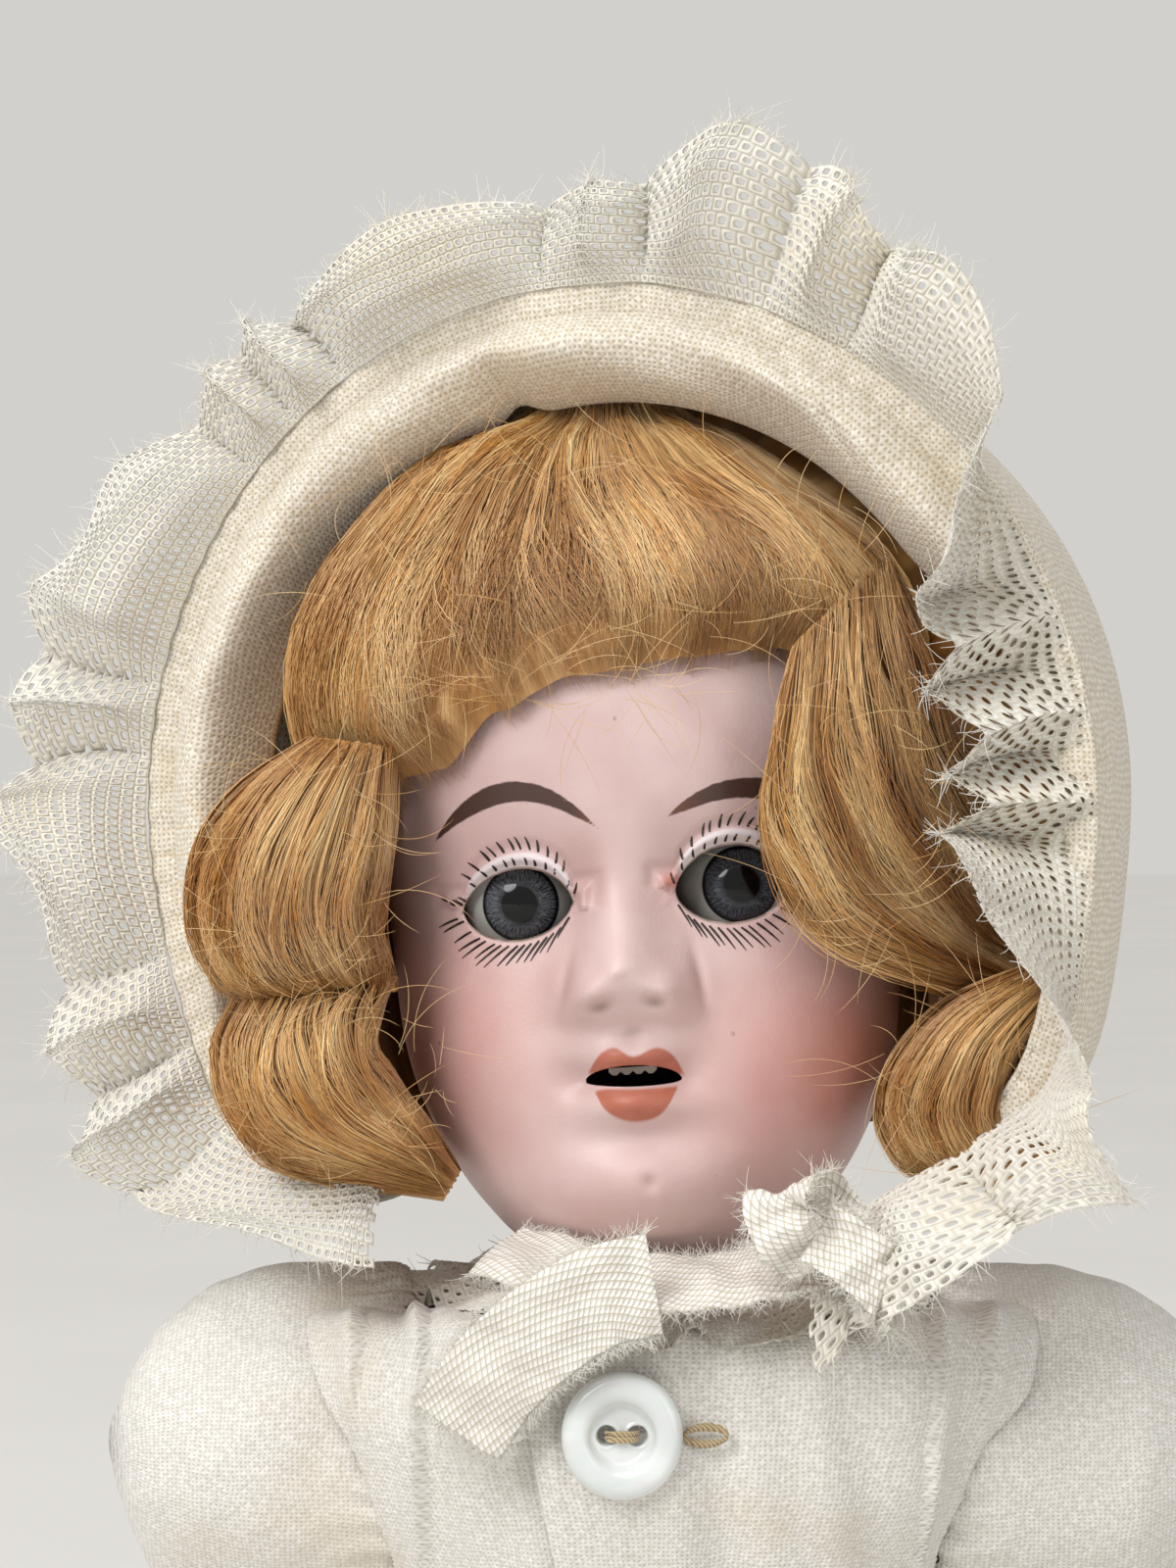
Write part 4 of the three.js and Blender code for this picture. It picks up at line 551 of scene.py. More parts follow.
def bisque_look():
    """Tinted bisque: a matt, faintly pink, fine-grained ceramic. Clouds of warmer and cooler tint and small
    dark specks keep it from looking plastic; blush, brows, lips, lids and grime are laid over it as washes."""
    look = Look("tinted_bisque", Roughness=0.43, Specular_IOR_Level=0.42)
    add = look.add
    where = add("TexCoord", out="Object")
    clouds = add("TexNoise", where, 70)
    colour = add("Mix", add("MapRange", clouds, 0.35, 0.7), "#dbc3c0", "#cfb1af")
    blush = add("MULTIPLY", add("Attribute", attribute_name="blush", out="Fac"),
            add("MapRange", add("TexNoise", where, 160, 2), 0.1, 0.8, 0.82, 1.06))
    colour = add("Mix", add("MULTIPLY", blush, 0.92), colour, "#cc6450")
    # painted shade: the shade wash darkens the nostrils, the nose's wings, under the nose, the mouth's corners and the
    # eye sockets
    colour = add("Mix", add("MULTIPLY", add("Attribute", attribute_name="shade", out="Fac"), 0.8), colour,
            "#8d7468")
    colour = add("Mix", add("MapRange", add("Attribute", attribute_name="lid", out="Fac"), -1.5, 1.5, 0, 0.75),
            colour, "#e6e0e2")
    streak = add("TexNoise", add("Mapping", add("TexCoord", out="Object"), Scale=(900, 900, 2200)), 1, 2)
    lips = add("MapRange", add("Attribute", attribute_name="lips", out="Fac"), -2.2, 2.6)
    lip_tone = add("Mix", add("TexNoise", where, 500), "#a54f38", "#bf7054")
    colour = add("Mix", add("MULTIPLY", lips, 0.93), colour, lip_tone)
    brow_edge = add("ADD", add("Attribute", attribute_name="brow", out="Fac"),
            add("MULTIPLY", add("SUBTRACT", streak, 0.5), 3.0))
    brow_tone = add("Mix", add("Attribute", attribute_name="brow_fade", out="Fac"), "#331405", "#6b3a1c")
    colour = add("Mix", add("MULTIPLY", add("MapRange", brow_edge, -0.7, 1.6), 0.94), colour, brow_tone)
    grime = add("MULTIPLY", add("MapRange", add("Attribute", attribute_name="rim", out="Fac"), -3.6, -0.6),
            add("MapRange", add("TexNoise", where, 420, 2), 0.3, 0.65, 0.35, 0.95))
    colour = add("Mix", grime, colour, "#5d5643")
    colour = add("Mix", add("MULTIPLY", add("Attribute", attribute_name="corner", out="Fac"), 0.9), colour,
            "#cf7a64")
    spots = add("TexVoronoi", where, Scale=300)
    rare = add("MapRange", add("TexNoise", where, 210, 1), 0.6, 0.66)
    colour = add("Mix", add("MULTIPLY", add("MULTIPLY", add("MapRange", spots, 0.1, 0.05), rare), 0.5), colour,
            "#5b4034")
    grain = add("ADD", add("TexNoise", where, 2600, 2), add("MULTIPLY", add("TexNoise", where, 300), 0.8))
    return look.finish(colour, grain, 0.035)


def make_head():
    """The head with its washes: how red, shaded and faded each point is, and how many pixels it lies inside the
    brows, the lips, the pale lids and the eye openings."""
    points, faces = head_mesh()
    u, v = seen(points)
    front = points[:, 1] < 0
    lid = rim = FAR_OUTSIDE
    for e in EYES.values():
        inside = eye_inside(u, v, e)
        above = v < (e["outer"][1] + e["inner"][1]) / 2 + 4
        low, high = sorted((e["outer"][0], e["inner"][0]))
        crescent = np.minimum(np.minimum(inside + 17, -2 - inside), 0.5 * np.minimum(u - low - 4, high - 2 - u))
        lid = np.maximum(lid, np.where(above, crescent, FAR_OUTSIDE))
        rim = np.maximum(rim, inside)
    washes = dict(brow=np.maximum(FAR_OUTSIDE, np.max([band_inside(u, v, *lines) for lines in BROWS], axis=0)),
                  lips=np.maximum(band_inside(u, v, *UPPER_LIP),
                          band_inside(u, v, *LOWER_LIP)), lid=lid, rim=rim)
    values = {key: np.where(front, wash, FAR_OUTSIDE) for key, wash in washes.items()}
    values.update(blush=np.clip(bells(u, v, BLUSH) * front, 0, 1),
            shade=np.clip(bells(u, v, SHADE) * front, 0, 1),
                  brow_fade=0.8 * np.where(u < 640, smooth(575, 611, u), smooth(730, 680, u)),
                  corner=bell(u, v, (685, 899), 6, 5) * front)
    mesh_piece("bisque_face", points, faces, bisque_look(), "head", ("bisque_head",), values=values,
            slot="bisque")


def stroke(path, width):
    """A painted stroke on the face: a strip along pixels of the frame, which tapers to its end."""
    way = unit(np.gradient(path, axis=0))
    across = np.stack([-way[:, 1], way[:, 0]], 1)
    t = np.linspace(0, 1, len(path))
    half = (width / 2 * (0.35 + 0.65 * np.sin(np.pi * np.clip(0.25 + 0.75 * t, 0, 1))))[:, None]
    edges = np.stack([path - across * half, path + across * half], 1)
    return on_face(edges[..., 0], edges[..., 1], 0.05).reshape(-1, 3)


def make_lashes():
    """Painted lashes: short upright strokes above each upper lid, and longer slanting ones below each eye."""
    source = np.random.default_rng(7)
    points, steps = [], 7
    for e in EYES.values():
        side = e["side"]
        outer, inner = np.array(e["outer"], float), np.array(e["inner"], float)
        middle = (outer[1] + inner[1]) / 2
        for count, gap, length, span in ((15, 20, 13, (-0.08, 1.0)), (11, 4, 8, (0.02, 0.94))):
            for t in np.linspace(*span, count):
                t += source.uniform(-0.012, 0.012)
                bow = max(4 * t * (1 - t), 0) ** 0.62
                start = mix(outer, inner, t) + (0, -(middle - e["top"]) * bow - gap * (0.35 + 0.65 * bow))
                lean = side * mix(58, -24, min(max(t, 0), 1)) + source.uniform(-5, 5)
                way = np.array([math.sin(math.radians(lean)), -math.cos(math.radians(lean))])
                bend = np.array([side * 0.16, 0.05])
                long = length * source.uniform(0.85, 1.2)
                s = np.linspace(0, 1, steps)[:, None]
                points.append(stroke(start + way * s * long + bend * (s ** 2) * long, source.uniform(2.3, 3.1)))
        for t in np.linspace(-0.06, 0.97, 16):
            t += source.uniform(-0.01, 0.01)
            bow = max(4 * t * (1 - t), 0) ** 0.62
            start = mix(outer, inner, t) + (0, (e["bottom"] - middle) * bow + 6)
            fall = math.radians(mix(22, 58, t) + source.uniform(-4, 4))
            way = np.array([side * math.cos(fall), math.sin(fall)])
            long = source.uniform(21, 29) * (0.8 + 0.3 * bow)
            s = np.linspace(0, 1, steps)[:, None]
            points.append(stroke(start + way * s * long + np.array([0, 0.12]) * (s ** 2) * long,
                    source.uniform(2.0, 2.6)))
    faces = repeated(grid_faces(2, steps), len(points), 2 * steps)
    look = Look("lash_paint", Roughness=0.5)
    add = look.add
    worn = add("TexNoise", add("TexCoord", out="Object"), 900, 2)
    paint = look.finish(add("Mix", add("MapRange", worn, 0.45, 0.75, 0, 0.5), "#251b17", "#6b5a50"))
    mesh_piece("painted_lashes", np.concatenate(points), faces, paint, "head")


def glass_eye_look(name, dark):
    """A blown glass eye: grey-white round a slate grey iris of fine threads that run out from the pupil to a
    black edge, under a hard clear surface that mirrors the lamps."""
    look = Look(name, Roughness=0.1, Coat_Weight=0.35, Coat_Roughness=0.02, Coat_IOR=1.4,
            Specular_IOR_Level=0.2)
    add = look.add
    rho = add("Attribute", attribute_name="rho", out="Fac")
    ring = add("Mapping", add("TexCoord", out="UV"), Scale=(9.0, 0.16, 1.0))
    threads = add("TexNoise", ring, 6, 4, 0.7)
    fine = add("TexNoise", add("Mapping", add("TexCoord", out="UV"), Scale=(30.0, 0.35, 1.0)), 6, 3, 0.7)
    both = add("ADD", add("MULTIPLY", threads, 0.5), add("MULTIPLY", fine, 0.5))
    pale, deep = ("#74797f", "#1b1e23") if not dark else ("#5a5e66", "#14171c")
    iris = add("Mix", add("MapRange", both, 0.4, 0.62), deep, pale)
    iris = add("Mix", add("MapRange", rho, 1.6, 2.5, 0.75, 0), iris, "#121417")
    iris = add("Mix", add("MapRange", rho, 3.3, 3.85), iris, "#07080a")
    iris = add("Mix", add("MapRange", rho, 1.85, 1.62), iris, "#040405")
    white = add("Mix", add("TexNoise", add("TexCoord", out="Object"), 260), "#8c8e8b", "#c2c2bc")
    return look.finish(add("Mix", add("MapRange", rho, 3.9, 4.12), iris, white))


def make_eyes():
    for side, e in EYES.items():
        centre = head_to_world(np.array([e["side"] * EYE_SPACING, -EYE_CENTRE_FRONT, EYE_RISE]))
        start, end = behind_pixel(*e["iris"], -60.0), behind_pixel(*e["iris"], 0.0)
        way = unit(end - start)
        along = np.dot(centre - start, way)
        off = np.linalg.norm(start + way * along - centre)
        hit = start + way * (along - math.sqrt(max(EYE_RADIUS ** 2 - off ** 2, 0.1)))
        gaze = unit(hit - centre)
        up = unit(np.array([0, 0, 1]) - gaze * gaze[2])
        wide = np.cross(gaze, up)
        columns, rows = 96, 64
        theta = round_angles(columns)
        # rings crowd on the iris; the cornea bulges a little over it
        polar = np.linspace(0, 1, rows)[:, None] ** 1.4 * (math.pi - 0.02) + 0.01
        bulge = 0.28 * np.exp(-(polar / 0.5) ** 4)
        radius = EYE_RADIUS - 0.06 + bulge
        points = centre + radius[..., None] * (
            np.cos(polar)[..., None] * gaze
            + np.sin(polar)[..., None] * (np.cos(theta)[:, None] * wide + np.sin(theta)[:, None] * up))
        rho = np.broadcast_to(EYE_RADIUS * polar, (rows, columns))
        uv = joined(np.broadcast_to(np.abs(theta / math.pi - 1), (rows, columns)), rho)
        look = glass_eye_look("glass_eye_" + side, side == "left")
        mesh_piece("glass_eye_" + side, points.reshape(-1, 3), grid_faces(columns, rows, True), look, "eyes",
                   ("eyeball_" + side,), uv.reshape(-1, 2), dict(rho=rho.ravel()), "glass")


make_head()
make_lashes()
make_eyes()


# Hair

def mohair_look():
    """Mohair: golden blond fibres. Every strand has its own tone, and the light attribute paints light and shade over
    it: brown painted shade, as at the roots of the curls, and pale gold painted highlights that run in bands across the
    locks as highlights do on real hair."""
    look = Look("golden_mohair", Roughness=0.38, Specular_IOR_Level=0.45, Sheen_Weight=0.2,
                Sheen_Roughness=0.4)
    add = look.add
    tone = add("Attribute", attribute_name="tone", out="Fac")
    # painted light and shade: deep is the colour of painted shade and gold that of painted highlights, mixed by the
    # light attribute
    deep = add("Mix", tone, "#80480f", "#c88936")
    gold = add("Mix", tone, "#dc9f48", "#fbe2ac")
    return look.finish(add("Mix", add("Attribute", attribute_name="light", out="Fac"), deep, gold))


MOHAIR = mohair_look()
SIDES = 3


def strands(name, paths, radius, tone, light):
    """Strands as thin three-sided tubes that taper at both ends. tone holds a value per strand, and light, the painted
    light and shade, a value per strand and step."""
    steps = paths.shape[1]
    taper = np.sin(np.pi * np.clip(np.linspace(0.12, 1.02, steps), 0, 1)) ** 0.5
    taper[-1] = 0.12
    points, faces = tubes(paths, radius, SIDES, taper)
    tone, light, along, around = np.broadcast_arrays(
        tone[:, None, None], light[..., None], np.linspace(0, 1, steps)[:,
                None], np.arange(SIDES) / SIDES * 0.02)
    mesh_piece(name, points, faces, MOHAIR, "head", (), joined(around, along).reshape(-1, 2),
               dict(tone=tone, light=light), "mohair")


def strand_tones(seed, source, places):
    """A tone for each strand: alike within a lock, by its place across, and a little different in every hair."""
    return np.clip(0.5 + 0.22 * waves(seed, 1.0, places) + source.normal(0, 0.22, len(places)), 0, 1)


def hair_base(name, grid, replaces, deep):
    """The mass of hair under the strands: one surface with its own streaks, so that no gap shows the head. deep sets
    the level of its painted light and shade: a low value paints the mass in shade.
    """
    rows, columns = grid.shape[:2]
    i, j = parameters(columns, rows)
    streak, fine = waves(3, 1.0, i * 40, j * 1.5), waves(6, 1.6, i * 150, j * 2)
    points = grid + grid_normals(grid) * (streak * 0.12)[..., None]
    tone = np.clip(0.4 + 0.15 * streak + 0.15 * fine, 0, 1)
    # painted light and shade: the mass's light level is deep, with streaks
    light = np.clip(deep + 0.1 * waves(5, 1.0, i * 9, j * 2) + 0.12 * fine, 0, 1)
    mesh_piece(name, points.reshape(-1, 3), grid_faces(columns, rows), MOHAIR, "head", replaces,
               joined(i, j).reshape(-1, 2), dict(tone=tone, light=light), "mohair")


FRINGE_EDGE = [(-0.36, 50), (-0.27, 51), (-0.2, 51.5), (-0.12, 56.5), (-0.03, 59), (0.1, 60), (0.2, 60.5),
        (0.36, 55)]
FRINGE_TOP_RISE = 76.0


def fringe_point(across, down, proud):
    """A point of the fringe: across from the doll's right to its left, down from the crown to the cut edge.
    The hair swells out to its full depth half way down and tucks under at its edge. Strands leave a parting
    above the right eye and sweep to both sides."""
    start = (across - 0.5) * 0.77 * math.pi
    sweep = mix(-0.03, 0.085, smooth(0.18, 0.42, across)) * math.pi * smooth(0.05, 1, down)
    angle = np.clip(start * 0.96 + sweep, -0.385 * math.pi, 0.39 * math.pi)
    low = table(FRINGE_EDGE, angle / math.pi)
    high_place = place_at(FRINGE_TOP_RISE * 0.995)
    place = mix(high_place, place_at(low), np.clip(down, 0, 1.2) ** 0.9)
    lift = 2.2 + 4.6 * np.sin(math.pi * np.clip(0.1 + 0.78 * down, 0, 1)) ** 0.8 + 0.9 * smooth(0.5, 0.9, down)
    lift = lift - 4.6 * smooth(0.88, 1.06, down)
    lift = lift + 3.2 * smooth(0.36, 0.06, across) * smooth(-0.1, 0.35, down) * (1
            - 0.5 * smooth(0.55, 0.95, down))
    lift = lift + 5.0 * smooth(0.42, 0.0, down)
    point = head_point(angle, place, lift + proud, False)
    over = smooth(0.06, -0.3, down)[..., None]
    return head_to_world(point + over * joined(0.16 * point[..., 0], 3.0, 13.0))


def make_fringe():
    columns, rows = 240, 46
    across, down = parameters(columns, rows, (0, 1), (-0.3, 1))
    locks = waves(21, 3.0, across * 26 + down * 2, down * 2)
    hair_base("fringe_mass", fringe_point(across, down, -0.7 + 0.3 * locks), ("wig_fringe",), 0.5)
    count, steps = 4100, 10
    source = np.random.default_rng(41)
    across = source.uniform(-0.01, 1.01, count)
    down_end = 1 + source.normal(0, 0.028, count) + 0.03 * waves(8, 1.0, across * 60)
    down_start = np.where(source.uniform(size=count) < 0.72, source.uniform(-0.3, -0.1, count),
            source.uniform(-0.1, 0.45, count))
    t = np.linspace(0, 1, steps)
    down = down_start[:, None] + (down_end - down_start)[:, None] * t
    clump = across + 0.014 * waves(11, 1.0, across * 46)
    pull = (clump - across)[:, None] * t ** 1.4 + source.normal(0, 0.013, (count, 1)) * t ** 1.5
    swing = 0.012 * waves(4, 1.0, across[:, None] * 14, 2.2 * t)
    swing = swing + 0.006 * waves(12, 1.0, across[:, None] * 50, 3 * t)
    proud = source.uniform(-0.4, 0.75, count)[:, None] * np.sin(np.pi * np.clip(t, 0.1, 1)) + 0.35 * waves(21,
            3.0, across[:, None] * 26 + down * 2, down * 2)
    paths = fringe_point(np.clip(across[:, None] + pull + swing, -0.02, 1.02), down, proud)
    tone = strand_tones(9, source, across * 24)
    # painted light and shade: bands of painted highlight across the strands, and painted shade where the fringe's edge
    # tucks under
    light = np.clip(0.56 + 0.3 * waves(10, 1.6, across[:, None] * 9, down * 2.4)
                    + 0.14 * source.normal(size=(count, 1)) - 0.3 * smooth(0.9, 1.05, down), 0, 1)
    radius = source.uniform(0.039, 0.082, count)
    half = count // 2
    for name, pick in (("fringe_strands", slice(0, half)), ("fringe_strands_front", slice(half, count))):
        strands(name, paths[pick], radius[pick], tone[pick], light[pick])


# Side curls: each is a rolled lock whose strands run in nested arcs between an inner and an outer line of pixels
CURLS = {
    "curl_right_upper": dict(
        outer=[(318, 752), (250, 800), (206, 868), (200, 950), (232, 1012), (300, 1034)],
        inner=[(402, 762), (398, 830), (388, 895), (384, 945), (392, 985), (404, 1012)], y=(-13.5,
                -24.5), count=1900),
    "curl_right_lower": dict(
        outer=[(252, 1008), (222, 1066), (228, 1130), (268, 1182), (345, 1208), (452, 1226)],
        inner=[(398, 996), (382, 1032), (384, 1072), (404, 1112), (436, 1150), (470, 1196)], y=(-13.0,
                -23.5), count=1800),
    "curl_left_lower": dict(
        outer=[(1046, 986), (968, 1020), (914, 1080), (900, 1148), (930, 1198), (1010, 1212)],
        inner=[(1092, 1010), (1062, 1052), (1042, 1096), (1040, 1136), (1056, 1164), (1092, 1176)], y=(-13.5,
                -22.5), count=1500),
}


def curl_point(c, across, along, proud):
    """A point of a rolled lock: across from its inner to its outer line, along from its root to its tip. The
    roll stands forward in its middle and turns under at both sides."""
    last = len(c["outer"]) - 1
    across, along = np.broadcast_arrays(np.asarray(across, float), np.asarray(along, float))
    inner, outer = spline(c["inner"], np.clip(along, 0, 1) * last), spline(c["outer"],
            np.clip(along, 0, 1) * last)
    pixel = mix(inner, outer, across[..., None])
    back, front = c["y"]
    swell = np.sqrt(np.clip(1 - np.abs(2 * across - 0.92) ** 2.4 / 1.08, 0, 1)) * (0.72
            + 0.28 * np.sin(math.pi * np.clip(along, 0, 1)))
    swell = swell * smooth(-0.16, 0.1, along) * (0.25 + 0.75 * smooth(1.05, 0.8, along))
    return behind_pixel(*np.moveaxis(pixel, -1, 0), mix(back, front, swell) - proud)


def make_curls():
    for k, (name, c) in enumerate(CURLS.items()):
        source = np.random.default_rng(60 + k)
        across, along = parameters(60, 50, (-0.02, 1.0))
        front = curl_point(c, across, along, -0.9)
        back = front.copy()
        back[..., 1] = np.maximum(front[..., 1], 2 * c["y"][0] - front[..., 1] + 1.0)
        hair_base(name + "_mass", np.concatenate([front, back[:, ::-1]], 1), (name,), 0.5)
        count, steps = c["count"], 12
        t = np.linspace(0, 1, steps)
        across = source.uniform(-0.03, 1.03, count)
        start = np.where(source.uniform(size=count) < 0.6, source.uniform(-0.02, 0.06, count),
                source.uniform(0, 0.5, count))
        end = np.minimum(start + source.uniform(0.5, 1.05, count), source.uniform(0.86, 1.03, count))
        along = start[:, None] + (end - start)[:, None] * t
        clump = across + 0.05 * waves(70 + k, 1.0, across * 14)
        place = mix(across, clump, 0.8)[:, None] + 0.035 * waves(75 + k, 1.2, across[:, None] * 9, along * 3)
        place = place - 0.22 * (place - 0.4) * smooth(0.75, 1.0,
                along) + 0.05 * source.normal(size=(count, 1)) * t ** 2
        proud = source.uniform(-0.5, 0.9, count)[:, None] + 0.5 * waves(77 + k, 1.5, place * 7, along * 2)
        paths = curl_point(c, np.clip(place, -0.06, 1.06), along, proud)
        tone = strand_tones(80 + k, source, across * 12)
        # painted light and shade: a painted highlight band high on each curl and a fainter one low on it, painted shade
        # at the roots and tips, and more painted shade along the curl's inner side
        painted_highlight = np.exp(-((along - 0.26) / 0.17) ** 2) * smooth(1.05, 0.6,
                place) + 0.5 * np.exp(-((along - 0.72) / 0.1) ** 2)
        light = np.clip(0.24 + 0.65 * painted_highlight + 0.12 * source.normal(size=(count, 1))
                + 0.14 * waves(85 + k, 1.5, place * 9, along * 2)
                        - 0.25 * smooth(0.25, 0.0, place), 0, 1)
        strands(name + "_strands", paths, source.uniform(0.043, 0.087, count), tone, light)


SWEEP_INNER = [(812, 655), (790, 745), (784, 815), (800, 880), (842, 935), (905, 978), (985, 1003),
        (1050, 1012)]
SWEEP_OUTER = [(905, 560), (925, 640), (945, 715), (972, 785), (1003, 850), (1034, 905), (1062, 955),
        (1085, 1000)]


def sweep_front(x, z):
    """The forward reach of the side sweep: it lies on the temple and rounds off towards the bonnet."""
    row = spline(HEAD_ROWS, place_at(z))
    share = np.clip((x - 1.0) / (row[..., 1] + 9.5), -0.98, 0.985)
    return (row[..., 2] + 3.4) * np.sqrt(1 - share ** 2)


def sweep_pixel(across, along):
    inner, outer = spline(SWEEP_INNER, along * 7), spline(SWEEP_OUTER, along * 7)
    return mix(inner, outer, across[..., None])


def make_sweep():
    columns, rows = 60, 60
    across, along = parameters(columns, rows, (0.03, 1))
    pixel = sweep_pixel(across, along)
    locks = waves(33, 2.4, across * 9, along * 2)
    grid = on_form(*np.moveaxis(pixel, -1, 0), lambda x, z: sweep_front(x, z) - 1.0 + 0.3 * locks)
    hair_base("sweep_mass", grid, ("curl_left_sweep",), 0.45)
    count, steps = 1850, 12
    source = np.random.default_rng(34)
    across = source.beta(0.9, 1.0, count) * 1.06 - 0.03
    start = np.where(source.uniform(size=count) < 0.7, source.uniform(0, 0.08, count),
            source.uniform(0, 0.5, count))
    end = source.uniform(0.6, 1.03, count)
    t = np.linspace(0, 1, steps)
    along = start[:, None] + (end - start)[:, None] * t
    clump = across + 0.04 * waves(38, 1.0, across * 16)
    wander = 0.05 * waves(35, 1.0, across[:, None] * 8, along * 2.4)
    place = clump[:, None] + wander + 0.1 * source.normal(size=(count, 1)) * t ** 2
    pixel = sweep_pixel(place, np.clip(along, 0, 1))
    proud = (source.uniform(-0.3, 1.3, count)[:, None] + 0.4 * waves(33, 2.4, place * 9, along * 2)
             + 1.2 * np.sin(np.pi * np.clip(place, 0, 1)))
    paths = on_form(*np.moveaxis(pixel, -1, 0), lambda x, z: sweep_front(x, z) + proud)
    tone = strand_tones(36, source, across * 14)
    # painted light and shade: bands of painted highlight and painted shade along the sweep
    light = np.clip(0.5 + 0.34 * waves(37, 1.6, place * 5, along * 3) + 0.12 * source.normal(size=(count, 1)),
            0, 1)
    strands("sweep_strands", paths, source.uniform(0.043, 0.087, count), tone, light)


def make_crown_hair():
    """The hair under the bonnet and down the back of the head: only its mass, which the bonnet hides."""
    columns, rows = 90, 40
    angle, t = parameters(columns, rows, (0.36 * math.pi, 1.64 * math.pi))
    behind = np.where(angle > math.pi, 2 * math.pi - angle, angle) / math.pi
    low = table([(0.36, 0.45 * HEAD_HEIGHT), (0.6, 0.2 * HEAD_HEIGHT), (1, 0.14 * HEAD_HEIGHT)], behind)
    place = mix(place_at(low), LAST_HEAD_ROW - 0.02, t)
    grid = head_to_world(head_point(angle, place, 2.2 + 2.6 * np.sin(math.pi * np.clip(t + 0.12, 0, 0.94)),
            False))
    # painted shade: both masses get a light level of 0.3, darker than the fringe and curls, as the shade under the
    # bonnet
    hair_base("crown_mass", grid, ("wig_crown", "wig_cap"), 0.3)
    place = mix(place_at(FRINGE_TOP_RISE * 0.97), LAST_HEAD_ROW - 0.02, t)
    top = np.linspace(-0.37 * math.pi, 0.37 * math.pi, columns) + 0 * t
    hair_base("crown_top_mass", head_to_world(head_point(top, place, 3.4, False)), (), 0.3)


def make_flyaways():
    """Loose hairs that leave the fringe and the curls in long shallow arcs."""
    source = np.random.default_rng(90)
    steps, paths = 12, []
    t = np.linspace(0, 1, steps)[:, None]
    starts = [((300, 890), (100, 120), -23.0, 70), ((345, 1100), (110, 95), -22.0, 70),
            ((990, 1110), (90, 95), -22.0, 60)]
    starts += [((600, 560), (300, 120), -34.0, 110), ((880, 830), (90, 160), -30.0, 50),
            ((560, 700), (150, 20), -31.0, 60)]
    for at, size, y, count in starts:
        for _ in range(count):
            a = source.uniform(0, 2 * math.pi)
            start = np.array(at) + np.array(size) * (math.cos(a), math.sin(a)) * source.uniform(0.5, 0.98)
            way = a + source.uniform(0.6, 1.6) * source.choice([-1, 1])
            long = source.uniform(30, 120)
            bend = source.uniform(-1.3, 1.3)
            heading = way + bend * t[:, 0]
            pixel = start + np.cumsum(np.stack([np.cos(heading), np.sin(heading)], 1), 0) * long / steps
            paths.append(behind_pixel(pixel[:, 0], pixel[:, 1], y - 0.4
                    + source.uniform(-0.8, 0.8) * t[:, 0] * 3))
    paths = np.array(paths)
    count = len(paths)
    # painted light: the loose hairs are all painted as lit, at a light level of 0.75
    strands("flyaway_hairs", paths, 0.032, source.uniform(0.3, 1, count), np.full((count, steps), 0.75))


make_crown_hair()
make_fringe()
make_curls()
make_sweep()
make_flyaways()


# Bonnet

BONNET_MOUTH = dict(half_width=46.5, top=49.5, bottom=43.0)
MOUTH_FORWARD, BONNET_DEPTH, BONNET_SPAN = 14.0, 56.0, math.radians(146)
BRIM_EDGE = dict(half_width=37.0, top=40.0, bottom=39.0)
LOWER_SQUARE = 0.74
BONNET_ROWS = [(0, 1), (0.22, 1.04), (0.5, 1), (0.76, 0.78), (0.93, 0.44), (1, 0.06)]


def bonnet_ring(size, angle, y, grow=0.0):
    """Points of a bonnet ring at angles from its top: rounded above, squarer below, grown outwards."""
    half_width = size["half_width"]
    low = np.abs(angle) > math.pi / 2
    tall = np.where(low, size["bottom"], size["top"])
    square = np.where(low, mix(1, LOWER_SQUARE, smooth(0.5 * math.pi, 0.7 * math.pi, np.abs(angle))), 1)
    s, c = np.sin(angle), np.cos(angle)
    out = unit(joined(s / half_width, 0 * s, c / tall))
    point = joined(half_width * np.sign(s) * np.abs(s) ** square, y, tall * np.sign(c) * np.abs(c) ** square)
    return point + out * np.asarray(grow)[..., None]


